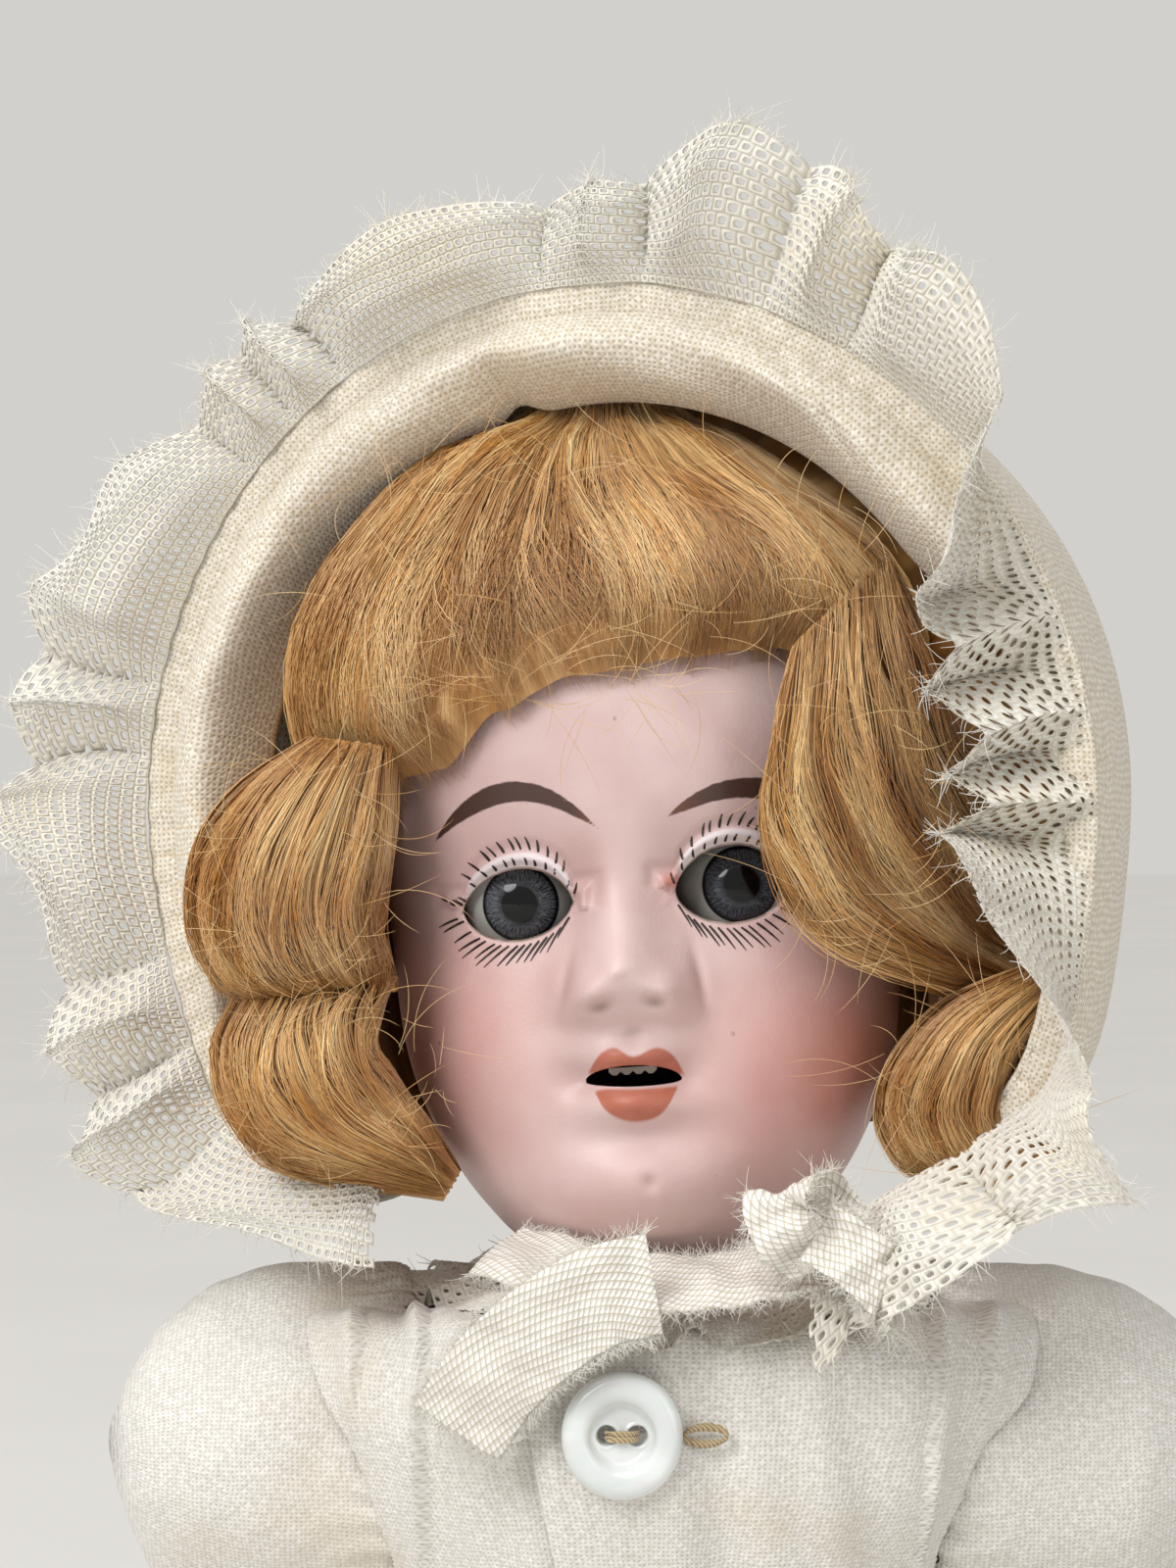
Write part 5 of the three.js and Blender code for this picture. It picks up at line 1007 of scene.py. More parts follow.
def woven_look(name, pale, deep, pitch, depth, stain, open_weave):
    """Plain-woven cloth: warp and weft threads over and under each other, uneven in thickness and tone, with slubs,
    soft painted shade in the gaps between the threads and faint tea-coloured stains from age."""
    look = Look(name, Roughness=0.88, Specular_IOR_Level=0.2, Sheen_Weight=0.25, Sheen_Roughness=0.5)
    add = look.add
    where, uv = add("TexCoord", out="Object"), add("TexCoord", out="UV")
    sway = add("TexNoise", uv, Scale=0.18, Roughness=0.5, noise_dimensions="2D", out="Color")
    swayed = add("VectorMath", sway, (1.1, 1.1, 0), operation="MULTIPLY")
    moved = add("VectorMath", uv, swayed, operation="ADD")
    across, down = add("SeparateXYZ", moved, out="X"), add("SeparateXYZ", moved, out="Y")
    threads = []
    for one, other in ((across, down), (down, across)):
        thread = add("ABSOLUTE", add("SINE", add("MULTIPLY", one, math.pi / pitch)))
        shift = add("MULTIPLY", add("FLOOR", add("DIVIDE", one, pitch)), math.pi)
        over = add("SINE", add("ADD", add("MULTIPLY", other, math.pi / pitch), shift))
        threads.append(add("MULTIPLY", thread, add("MULTIPLY_ADD", over, 0.22, 0.78)))
    height = add("MAXIMUM", *threads)
    slub = add("TexNoise", moved, 1.4, 2, 0.5, noise_dimensions="2D")
    tone = add("Mix", add("MapRange", slub, 0.3, 0.7), deep, pale)
    # painted shade: the gaps between the threads are darkened, the more so by open_weave
    gaps = add("SUBTRACT", 1, add("MapRange", height, 0.25, 0.72))
    colour = add("Mix", add("MULTIPLY", gaps, open_weave), tone, "#a2937a")
    colour = add("Mix", add("MapRange", add("TexNoise", where, 45), 0.55, 0.78, 0, 0.45), colour, stain)
    return look.finish(colour, add("MULTIPLY_ADD", slub, 0.3, height), depth)


LINEN = woven_look("bonnet_linen", "#efe9dc", "#ddd3bf", 0.53, 0.12, "#cbb58e", 0.6)
LAWN = woven_look("dress_lawn", "#eceae6", "#dcd9d2", 0.47, 0.09, "#d2c4a6", 0.42)


def cloth_piece(name, outer, inner, body, uv, material, replaces=(), slot="linen", loop=False, keep=None,
        **cut):
    points, faces = sheet_solid(outer, inner, loop, keep)
    used, faces = used_only(faces)
    uv = np.concatenate([uv.reshape(-1, 2)] * 2)[used]
    piece = mesh_piece(name, points[used], faces, material, body, replaces, uv, slot=slot)
    return piece


def grid_uv(grid):
    """Texture places in millimetres, measured along the rows and columns of a grid."""
    runs = [np.linalg.norm(np.diff(grid, axis=1 - k), axis=-1).mean(k) for k in (0, 1)]
    return joined(*np.meshgrid(*(np.concatenate([[0], np.cumsum(run)]) for run in runs)))


def grid_area(grid, keep=None):
    """The area of a grid of points, in square metres, of all its cells or of those at kept points."""
    cell = np.linalg.norm(np.cross(grid[1:, 1:] - grid[:-1, :-1], grid[1:, :-1] - grid[:-1, 1:]), axis=-1) / 2
    kept = True if keep is None else keep[1:, 1:] & keep[:-1, :-1]
    return float((cell * kept).sum()) * METRE ** 2


def flat_size(grid):
    """The width and length that a grid of points would have as flat cloth, in metres."""
    length = grid_uv(grid)[0, -1, 0] * METRE
    return grid_area(grid) / length, length


def make_bonnet_crown():
    """The linen crown: it leaves the tape in small pleats, swells over the hair, and is gathered to a point
    at the back, where its folds deepen."""
    columns, rows = 200, 80
    u, v = parameters(columns, rows)
    angle = mix(-BONNET_SPAN, BONNET_SPAN, u)
    depth, size = np.moveaxis(spline(BONNET_ROWS, v * (len(BONNET_ROWS) - 1)), -1, 0)
    gathers = (1.0 * np.abs(np.sin(u * 31 * math.pi + 0.8 * waves(2, 2.0, u * 20))) * smooth(0.42, 0.9, depth)
               + 0.5 * np.sin(u * 74 * math.pi + waves(6, 2.0, u * 20)) * smooth(0.2, 0.03, depth))
    soft = 0.55 * waves(12, 3.0, u * 14, v * 5)

    def surface(lift):
        ring = bonnet_ring(BONNET_MOUTH, angle, 0.0, gathers + soft * smooth(0, 0.15, depth) + lift)
        y = -MOUTH_FORWARD + 1.1 + depth * BONNET_DEPTH
        return bonnet_to_world(joined(ring[..., 0] * size, y + lift * smooth(0.5, 1, depth),
                ring[..., 2] * size))

    outer, inner = surface(-0.1), surface(-0.75)
    cloth_piece("linen_crown", outer, inner, "head", grid_uv(outer), LINEN, ("bonnet_crown",),
            flat=flat_size(outer), held="gathered")


def brim_point(u, v, lift):
    """The lining that rolls from the hair out to the seam: widest over the brow, close to the tape beside the
    curls, with two soft tucks and a pinch over the right eye where the hair shows through."""
    angle = mix(-BONNET_SPAN, BONNET_SPAN, u)
    beside = 0.85 * np.maximum(smooth(0.3 * math.pi, 0.5 * math.pi, angle),
            smooth(0.5 * math.pi, 0.66 * math.pi, -angle))
    notch = 1.4 * np.exp(-((angle + 0.2) / 0.05) ** 2)
    size = {}
    for key in ("half_width", "top", "bottom"):
        outer = BONNET_MOUTH[key] - 1.0
        size[key] = mix(mix(BRIM_EDGE[key] + notch, outer, beside), outer, v)
    y = mix(-10.0, -MOUTH_FORWARD - 0.8, v) - 5.5 * np.sin(math.pi * v) * (1 - beside)
    folds = (0.95 * waves(15, 3.4, u * 40, v * 3 + u * 8)
             + 0.6 * np.sin(u * 46 * math.pi + 3 * v + waves(16, 2.0, u * 12)) * smooth(0.35, 1, v))
    pinch = -1.6 * np.exp(-((angle - 0.62 + 0.5 * (v - 0.6)) / 0.035) ** 2) * smooth(0.15, 0.7, v)
    return bonnet_to_world(bonnet_ring(size, angle, y - lift - folds * np.sin(math.pi * np.clip(v + 0.1, 0, 1))
            - pinch))


def make_brim():
    columns, rows = 320, 32
    u, v = parameters(columns, rows)
    outer, inner = brim_point(u, v, 0.7), brim_point(u, v, 0.0)
    cloth_piece("linen_brim", outer, inner, "head", grid_uv(outer), LINEN, ("bonnet_brim",),
            flat=flat_size(outer), held="gathered")
    v = mix(-1.4, 2.2, v)
    angle = mix(-BONNET_SPAN, BONNET_SPAN, u)
    puff = 0.55 * np.sqrt(np.clip(1 - ((v - 0.4) / 1.82) ** 2, 0, 1)) + 0.16 * np.sin(u * 150 * math.pi)

    def tape(lift):
        return bonnet_to_world(bonnet_ring(BONNET_MOUTH, angle, -MOUTH_FORWARD - 0.75 - puff * (lift > 0)
                - lift, v - 0.3))

    outer, inner = tape(0.25), tape(0.0)
    cloth_piece("seam_tape", outer, inner, "head", grid_uv(outer), LINEN, ("bonnet_tape",))


def make_under_brim():
    """Hair that comes out from under the brim all round the face, behind the fringe and the curls."""
    u, v = parameters(200, 20)
    angle = mix(-0.66 * math.pi, 0.66 * math.pi, u)
    ring = bonnet_ring(BRIM_EDGE, angle, mix(-8.0, 7.0, v), mix(-5.5, 3.0, v ** 0.7)
            + 0.5 * waves(44, 2.0, u * 60))
    # painted shade: a light level of 0.34 paints the hair under the brim darker, as in the brim's shade
    hair_base("under_brim_mass", bonnet_to_world(ring), (), 0.34)


def lace_look():
    """Knitted cotton: matt, creamy yarn with a faint twist, with painted shade, warmer and darker, in its hollows and
    round its holes, and patches yellowed by age.
    """
    look = Look("knitted_lace", Roughness=0.9, Specular_IOR_Level=0.2, Sheen_Weight=0.3, Sheen_Roughness=0.5)
    add = look.add
    where = add("TexCoord", out="Object")
    tone = add("Mix", add("TexNoise", where, 900), "#e0dccf", "#faf8f2")
    low = add("Attribute", attribute_name="low", out="Fac")
    # painted shade: the low attribute darkens the hollows of the knit and the edges of its holes
    colour = add("Mix", add("MULTIPLY", low, 0.5), tone, "#a89c82")
    age = add("MapRange", add("TexNoise", where, 60), 0.5, 0.75, 0, 0.3)
    return look.finish(add("Mix", age, colour, "#dccfae"), add("TexNoise", where, 3600, 2), 0.05)


LACE = lace_look()
HOLE = 0.5  # of a cell of the lace


def net(name, surface, columns, rows, body, node, flat, yarn, seed=5):
    """Knitted lace as real yarn round real holes. The sheet is cut into staggered cells; each cell is a ring
    of eight sides from its edge, over a round yarn, to its hole. surface(u, v, lift) gives world points."""
    source = np.random.default_rng(seed)
    i, j = np.meshgrid(np.arange(columns), np.arange(rows))
    # a brick-shaped cell has six shared corners; two more sit at the middle of its upper and lower sides
    brick = np.array([(-0.5, -0.5), (0, -0.5), (0.5, -0.5), (0.5, 0), (0.5, 0.5), (0, 0.5), (-0.5, 0.5),
            (-0.5, 0)])
    size = HOLE * source.uniform(0.82, 1.16, (rows, columns, 1, 1))
    size[0] *= 0.7
    size = np.where(source.uniform(size=size.shape) < 0.012, 1.3 * HOLE, size)  # a few are torn
    hole = 0.5 * unit(brick) * size + 0.6 * source.normal(0, 0.06, (rows, columns, 1, 2))
    # rings of a cell from its edge to its hole: the brick's share of the shape, how much painted shade it gets as a
    # hollow, and its lift
    shares, low, lift = np.array([(1, 0.6, -0.25), (0.66, 0.08, 0.8), (0.26, 0.05, 1), (0, 1, -0.8)]).T
    x, y = np.moveaxis(mix(hole[:, :, :, None], brick[:, None], shares[:, None]), -1, 0)
    u = ((i + 0.5 + 0.4995 * (j % 2))[..., None, None] + x) / (columns + 0.5)
    v = ((j + 0.5)[..., None, None] + y) / rows
    v = v + 0.16 / rows * waves(seed + 1, 5.0, u * columns * 0.5, v * rows * 0.5)
    points = surface(np.clip(u, 0, 1), np.clip(v, 0, 1), yarn * lift + 0 * u).reshape(-1, 3)
    spoke = np.arange(0, 32, 4)[:, None] + np.arange(3)
    following = np.roll(spoke, -1, 0)
    quads = np.stack([spoke, following, following + 1, spoke + 1], -1).reshape(-1, 4)
    faces = repeated(quads, rows * columns, 32)
    piece = mesh_piece(name, points, faces, LACE, body, (node,), values=dict(low=low + 0 * u), slot="lace")
    min(faces_area(points, faces) * METRE ** 2,
            flat[0] * flat[1])


def loose_ends(name, paths, radius, sides, taper, material, body, slot):
    """Threads along paths, with none of the lace's painted hollow shade on them."""
    points, faces = tubes(np.asarray(paths), radius, sides, taper)
    return mesh_piece(name, points, faces, material, body, values=dict(low=np.zeros(len(points))), slot=slot)


def fuzz(name, surface, count, body, seed, long):
    """Broken yarn ends that stick out of the lace's outer edge."""
    source = np.random.default_rng(seed)
    u = source.uniform(0, 1, (count, 1))
    t = np.linspace(0, 1, 5)[:, None]
    start, inner = surface(u, 0.98 + 0 * u, 0 * u), surface(u, 0.9 + 0 * u, 0 * u)
    way = unit(start - inner) + source.normal(0, 0.6, (count, 1, 3))
    length = source.uniform(*long, (count, 1, 1))
    curl = source.normal(0, 0.8, (count, 1, 3))
    paths = start + way * length * t + curl * length * t ** 2
    radius = source.uniform(0.04, 0.085, count)
    loose_ends(name, paths, radius, 3, np.linspace(1, 0.35, 5), LACE, body, "lace")


PLEATS = 19
# The ruffle by its place round the mouth (share of a half turn from the top): how far it turns forwards, and its width
RUFFLE_FOLD = [(-0.8, 40), (-0.7, 22), (-0.5, 12), (0.12, 14), (0.24, 38), (0.34, 92), (0.42, 134), (0.52, 142),
        (0.6, 116),
               (0.66, 72), (0.72, 36), (0.8, 20)]
RUFFLE_REACH = [(-0.8, 12), (-0.68, 14.5), (-0.5, 14.8), (-0.36, 14.8), (-0.24, 10.8), (-0.08, 10.2),
        (0.04, 13), (0.14, 17.5),
                (0.3, 17.5), (0.42, 17), (0.6, 16), (0.7, 20), (0.8, 20)]


def ruffle_surface(u, v, lift):
    """The ruffle: it stands out from the tape over the top and the doll's right, and folds forwards and inwards
    on its left. Its pleats are fat rounded lobes with pinched creases between them; each leans over the next."""
    angle = mix(-BONNET_SPAN, BONNET_SPAN, u) * 0.985
    fold = np.radians(table(RUFFLE_FOLD, angle / math.pi))
    phase = u * PLEATS * 2 * math.pi + 1.9 * waves(51, 2.2, u * 15)
    arch = np.abs(np.sin(phase / 2))
    start = bonnet_ring(BONNET_MOUTH, angle, -MOUTH_FORWARD - 1.5, 1.7)
    out = unit(bonnet_ring(BONNET_MOUTH, angle, 0.0, 1.0) - bonnet_ring(BONNET_MOUTH, angle, 0.0))
    tangent = np.cross(out, np.array([0, 1.0, 0]))
    forward = np.array([0, -1.0, 0])
    cf, sf = np.cos(fold)[..., None], np.sin(fold)[..., None]
    along, face = out * cf + forward * sf, -out * sf + forward * cf
    uneven = waves(52, 2.6, u * 17)
    width = table(RUFFLE_REACH, angle / math.pi) * (0.8 + 0.12 * uneven + 0.24 * np.sqrt(arch))
    open_out = smooth(-0.08, 0.42, v)
    deep = 5.0 * (1 + 0.25 * waves(53, 2.0, u * 20))
    rolled = arch ** 0.62 * (1 - 0.35 * smooth(0.72, 1.02, v))
    crest = deep * open_out * (1.35 * rolled - 0.3) + 0.25 * np.sin(3 * phase + 4 * v) * smooth(0.5, 1, v)
    lean = -1.35 * np.sin(phase) * open_out - 0.9 * mix(1, -1, smooth(-0.3, 0.5, angle)) * rolled * open_out
    lean = lean + 1.3 * waves(55, 2.0, u * 24, v) * v
    droop = -1.0 * smooth(0.6, 1, v) * (1 + waves(54, 2.0, u * 24))
    last, first = smooth(0.66 * math.pi, 0.8 * math.pi, angle), smooth(-0.68 * math.pi, -0.8 * math.pi, angle)
    ends = joined((9 * first + 9 * last) * v, -4 * first * v, (-1 * first - 1 * last) * v)
    under_right, under_left = smooth(0.085, 0, u)[..., None], smooth(0.93, 1, u)[..., None]
    ends = ends + under_right * ([11.0, -4.5, 2.5] + v[..., None] * [-3.0, 3.0, -1.0])
    ends = ends + under_left * ([-12.0, -3.0, -3.5] + v[..., None] * [-17.0, -1.0, 3.0])
    return bonnet_to_world(start + along * (v * width + droop)[..., None] + face * (crest + lift)[..., None]
                           + tangent * lean[..., None] + ends)


def make_ruffle():
    net("lace_ruffle", ruffle_surface, 292, 13, "head", "bonnet_ruffle", flat=(0.016, 0.44), yarn=0.22)
    fuzz("lace_ruffle_fuzz", ruffle_surface, 2100, "head", 17, (0.3, 1.25))


make_bonnet_crown()
make_brim()
make_under_brim()
make_ruffle()


# Dress

SHOULDER = np.array([0.0, 4.0, 76.0])
PUFF_RADIUS = 18.5
WAIST_RISE, DRESS_TOP = 47.0, 93.0
BODICE_SHARES = [
    (0, 0.585, 0.77, 0.8), (0.22, 0.6, 0.85, 0.84), (0.41, 0.76, 0.94, 0.92), (0.63, 0.93, 1, 0.98),
    (0.8, 1, 0.98, 0.96), (0.925, 0.975, 0.925, 0.9), (0.965, 0.8, 0.8, 0.8)]
BODICE_ROWS = np.array([(mix(WAIST_RISE, DRESS_TOP, r), w * 42.5, f * 26.5, b * 25) for r, w, f,
        b in BODICE_SHARES]
                       + [(89.2, 14.6, 14.6, 14.6)])
FRONT_SPLIT = -0.1 * math.pi
# Tucks of the two fronts: place across the chest, width of the fold, and the side that its edge faces
TUCKS = [(-40.5, 3.0, 1), (-35.2, 4.2, -1), (-29.5, 4.6, -1), (-23.5, 3.6, -1), (24.0, 3.4, 1), (29.0, 3.6, 1),
         (34.5, 4.0, 1), (39.0, 3.0, 1)]


def tuck_relief(x, z):
    """Tucks: each is a flap that stands up at its stitched edge and lies down again within its width."""
    total = 0.0
    for k, (at, wide, way) in enumerate(TUCKS):
        line = at + 0.35 * np.sin(z / 9 + k) + 0.02 * (z - 75) * np.sign(at)
        t = way * (x - line) / wide
        total = total + 1.5 * smooth(-0.06, 0.07, t) * smooth(1.0, 0.2, t)
    return total


def bodice_point(angle, v, lift):
    """Points of the dress's body from the waist to the neckline, with tucks, gathers below the neckline and
    soft creases that run down from it."""
    row = spline(BODICE_ROWS, v * (len(BODICE_ROWS) - 1))
    z, width, front, back = np.moveaxis(row, -1, 0)
    s, c = np.sin(angle), np.cos(angle)
    reach = np.where(c > 0, front, back)
    x = width * s
    up = smooth(0.62, 0.9, v)
    beside_sleeve = np.maximum(smooth(18.6, 22.4, np.hypot(3 - reach * c - SHOULDER[1], z - SHOULDER[2])),
            smooth(25, 22, np.abs(x)))
    tucks = tuck_relief(x, z) * smooth(0.97, 0.86, v) * (c > 0.02) * beside_sleeve
    gathers = 0.34 * np.sin(angle * 62 + 1.5 * waves(61, 14.0, x, z)) * smooth(0.78, 0.92, v) * smooth(1.0,
            0.97, v)
    gathers = gathers * beside_sleeve
    creases = 0.55 * waves(62, 9.0, x * 1.0, z * 0.28) + 0.4 * waves(63, 12.0, x * 0.5, z)
    lift = lift + tucks + gathers + creases * smooth(0, 0.2, v) * smooth(1, 0.9, v)
    return joined(x + lift * s * smooth(0, 0.05, np.abs(width)), 3 - (reach + lift) * c, z + lift * up)


def thin(grid, depth):
    """The grid moved inwards along its own normals."""
    return grid - grid_normals(grid) * depth


def outside_armhole(points):
    return (np.hypot(points[..., 1] - SHOULDER[1], points[..., 2]
            - SHOULDER[2]) > 18.6) | (np.abs(points[..., 0]) < 24)


def make_bodice():
    """Two tucked fronts and a back. The doll's left front laps over the right one, with a stitched placket
    edge, and a worked buttonhole lies beside the button."""
    spans = [("bodice_front_right", -0.5 * math.pi, FRONT_SPLIT + 0.03 * math.pi, 160, -0.7),
             ("bodice_front_left", FRONT_SPLIT - 0.004 * math.pi, 0.5 * math.pi, 240, 0.0),
             ("bodice_back", 0.503 * math.pi, 1.497 * math.pi, 150, 0.0)]
    for name, start, end, columns, under in spans:
        angle, v = parameters(columns, 126, (start, end))
        lift = under * smooth(FRONT_SPLIT - 0.03 * math.pi, FRONT_SPLIT, angle)
        if name == "bodice_front_left":
            across = (angle - FRONT_SPLIT) * 26
            lift = lift + 0.6 * smooth(11.0, 0.4, across) + 0.4 * np.exp(-((across
                    - 1.0) / 0.5) ** 2) * smooth(0.1, -0.1, -across)
            lift = lift - 0.3 * np.exp(-((across - 3.0) / 0.22) ** 2)
        grid = bodice_point(angle, v, lift)
        flat = bodice_point(angle, v, 0 * angle)
        keep = outside_armhole(flat)
        cloth_piece(name.replace("bodice", "dress"), grid, thin(grid, 0.45), "trunk", grid_uv(flat), LAWN,
                (name,), "lawn",
                    keep=keep, flat=flat_size(grid), held="gathered", area=grid_area(grid, keep))


def collar_surface(u, v, lift):
    """The collar: a band of the same knitted lace that falls over the dress in waves, and stands up beside the chin."""
    angle = u * 2 * math.pi - math.pi * 1.1
    wave = np.sin(angle * 15 + 1.4 * waves(71, 2.0, u * 16))
    radius = 13.8 + v * 13.2 + 0.9 * waves(72, 2.0, u * 20) * v
    beside_chin = np.exp(-((np.abs(angle + 0.02) - 0.95) / 0.42) ** 2)
    z = 93.4 - 3.6 * (1 - v) ** 2 - 3.0 * smooth(0.4, 1, v) * (0.5
            + 0.5 * np.cos(angle)) + 1.1 * wave * v + lift
    z, radius = z + 1.2 * beside_chin * smooth(0.1, 0.75, v), radius - 0.6 * beside_chin * v
    return joined(radius * np.sin(angle), 3 - radius * np.cos(angle), z)


def make_collar():
    net("collar_lace_band", collar_surface, 140, 11, "trunk", "collar_lace", flat=(0.014, 0.19), yarn=0.2,
            seed=73)
    fuzz("collar_lace_fuzz", collar_surface, 420, "trunk", 74, (0.5, 1.6))


def remeshed(points, faces, voxel, rounds):
    """A closed mesh made even: remeshed in small voxels and smoothed. Returns points in millimetres and quads."""
    mesh = bpy.data.meshes.new("making")
    mesh.from_pydata((points * METRE).tolist(), [], faces)
    obj = bpy.data.objects.new("making", mesh)
    bpy.context.scene.collection.objects.link(obj)
    remesh = obj.modifiers.new("remesh", "REMESH")
    remesh.mode, remesh.voxel_size = "VOXEL", voxel * METRE
    smoothed = obj.modifiers.new("smooth", "SMOOTH")
    smoothed.factor, smoothed.iterations = 0.5, rounds
    made = obj.evaluated_get(bpy.context.evaluated_depsgraph_get()).to_mesh()
    out = np.empty(len(made.vertices) * 3)
    made.vertices.foreach_get("co", out)
    quads = np.array([list(p.vertices) for p in made.polygons])
    bpy.data.objects.remove(obj)
    bpy.data.meshes.remove(mesh)
    return out.reshape(-1, 3) / METRE, quads


def capped_rings(rings):
    """A closed mesh of rings of points, one after another, with fans at both ends."""
    rings = np.asarray(rings)
    rows, columns = rings.shape[:2]
    i = np.arange(columns)
    following = (i + 1) % columns
    first, last = i * 0 + rows * columns, (rows - 1) * columns
    fans = [np.stack([following, i, first], 1), np.stack([last + i, last + following, first + 1], 1)]
    return (np.concatenate([rings.reshape(-1, 3), rings[[0, -1]].mean(1)]),
            [*grid_faces(columns, rows, True).tolist(), *np.concatenate(fans).tolist()])


def elbow_and_wrist(side):
    return np.array([side * 39.2, 4.0, 44.6]), np.array([side * 43.3, -21.1, 31.9])


def make_sleeve(name, side):
    """A sleeve: a puffed head gathered into the armhole, round about the shoulder's axis, and a tube that
    follows the bent arm to the wrist band, with creases inside the elbow."""
    around = round_angles(40)
    shares, radii = np.array([(0, 0.98), (0.06, 1.02), (0.25, 1.0), (0.45, 0.995), (0.66, 0.92), (0.82, 0.74),
                              (0.94, 0.45), (1, 0.12)])[..., None].transpose(1, 0, 2)
    puff = joined(side * mix(25.2, 56.8, shares), SHOULDER[1] + radii * PUFF_RADIUS * np.cos(around),
                  SHOULDER[2] + radii * PUFF_RADIUS * np.sin(around))
    elbow, wrist = elbow_and_wrist(side)
    end = mix(elbow, wrist, 0.73)
    path = spline([(side * 41, 4, 74), (side * 39, 4, 60), elbow, mix(elbow, end, 0.55), end],
            np.linspace(0, 4, 18))
    along = unit(np.gradient(path, axis=0))
    wide = unit(np.cross(along, (0, 1.0, 0.25)) * side)
    radii = table([(0, 13.0), (0.35, 12.6), (0.62, 11.2), (0.85, 9.6), (1, 7.6)], np.linspace(0, 1, 18))
    tube = path[:, None] + radii[:, None, None] * (
        wide[:, None] * np.cos(around)[:, None] + np.cross(along, wide)[:, None] * np.sin(around)[:, None])
    (puff, faces), (tube, more) = capped_rings(puff), capped_rings(tube)
    faces += [[i + len(puff) for i in face] for face in more]
    points, quads = remeshed(np.concatenate([puff, tube]), faces, 0.85, 10)
    x, y, z = points[:, 0] * side, points[:, 1], points[:, 2]
    theta = np.arctan2(z - SHOULDER[2], y - SHOULDER[1])
    out = unit(points - joined(side * 36, 4, np.clip(z, 58, 76)))
    gather = 0.55 * np.sin(theta * 34 + 1.5 * waves(81, 14.0, *points.T)) * smooth(34, 26,
            x) * (np.hypot(y - 4, z - 76) > 13)
    folds = 0.55 * waves(82, 11.0, *(points * (1, 1, 0.5)).T) + 0.14 * waves(83, 5.0, *points.T)
    rings = 0.35 * np.sin(z * 0.9 - y * 0.5 + waves(84, 9.0, *points.T)) * smooth(64, 52, z)
    keep_in = smooth(0, 3, np.linalg.norm(points - end, axis=1))
    points = points + out * ((gather + folds * 0.8 + rings * 0.4) * keep_in - 0.45)[:, None]
    centre = points[quads].mean(1)
    inner = (centre[:, 0] * side < 26.2) & (np.hypot(centre[:, 1] - 4, centre[:, 2] - 76) < 17.6)
    open_end = ((centre - end) @ unit(wrist - elbow) > -0.4) & (np.linalg.norm(centre - end, axis=1) < 8.2)
    used, quads = used_only(quads[~inner & ~open_end])
    points = points[used]
    # texture places in millimetres: round the arm and along it
    uv = joined(np.arctan2(points[:, 1] - SHOULDER[1], points[:, 2] - SHOULDER[2]) * PUFF_RADIUS,
            points[:, 0] * side)
    piece = mesh_piece("lawn_sleeve_" + name, points, quads, LAWN, None, ("sleeve_" + name,), uv, slot="lawn")
    faces_area(points, quads) * METRE ** 2
    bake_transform(piece)


def make_cuff(name, side):
    """A wrist band: a doubled strip of lawn, stitched near both edges."""
    elbow, wrist = elbow_and_wrist(side)
    way = unit(wrist - elbow)
    wide = unit(np.cross(way, (0, 0, 1.0)))
    deep = np.cross(way, wide)
    turn, v = np.meshgrid(round_angles(80), np.linspace(0, 1, 18))
    start = elbow + way * 21.5

    def band(radius):
        stitched = -0.14 * (np.exp(-((v - 0.14) / 0.05) ** 2) + np.exp(-((v - 0.86) / 0.05) ** 2))
        r = radius + (stitched + 0.12 * waves(91, 3.0, turn * 6, v * 4)) * (radius > 6)
        return start + way * (v * 5)[..., None] + (wide * np.cos(turn)[..., None]
                + deep * np.sin(turn)[..., None]) * r[..., None]

    outer = band(6.5)
    cloth_piece("wrist_band_" + name, outer, band(5.6), name + "_forearm", joined(turn * 6.4, v * 5), LAWN,
                ("cuff_" + name,), "lawn", True, flat=(0.01, 0.042), held="folded", area=grid_area(outer))


def skirt_grid(u, v, lift):
    """The skirt: gathered at the waist, drawn forwards over the legs, and lying on the seat round the sides."""
    angle = u * 2 * math.pi
    s, c = np.sin(angle), np.cos(angle)
    waist_rise, waist_width, waist_front, waist_back = BODICE_ROWS[0] * (1, 41 / 42.5, 1, 1)
    spread = v ** 1.25
    x = mix(waist_width * s, 58 * np.sign(s) * np.abs(s) ** 0.62, spread)
    front = c > 0
    y = mix(3 - np.where(front, waist_front, waist_back) * c,
            -np.where(front, 98, 44) * np.sign(c) * np.abs(c) ** 0.72, spread)
    over = smooth(46.0, 24.1, np.abs(x)) * smooth(waist_back / 2, 0, y)
    ground = mix(2.1, 25.0, over)
    ripple = 2 * np.sin(angle * 15) * smooth(0.1, 1, v)
    folds = (0.9 * np.sin(angle * 46 + 2.0 * waves(95, 3.0, u * 30)) * smooth(0, 0.2, v) * smooth(0.9, 0.3, v)
             + 0.6 * waves(96, 14.0, x, y) * smooth(0.1, 0.4, v))
    z = mix(ground, waist_rise - 0.3, (1 - v) ** 2.4)
    lift = lift + folds * 0.6
    aside = ripple * (1 - over) + lift * 0.6
    return joined(x + s * aside, y - c * aside, z + over * smooth(0, 0.3, v) * (lift + 0.5 * ripple + 1.0))


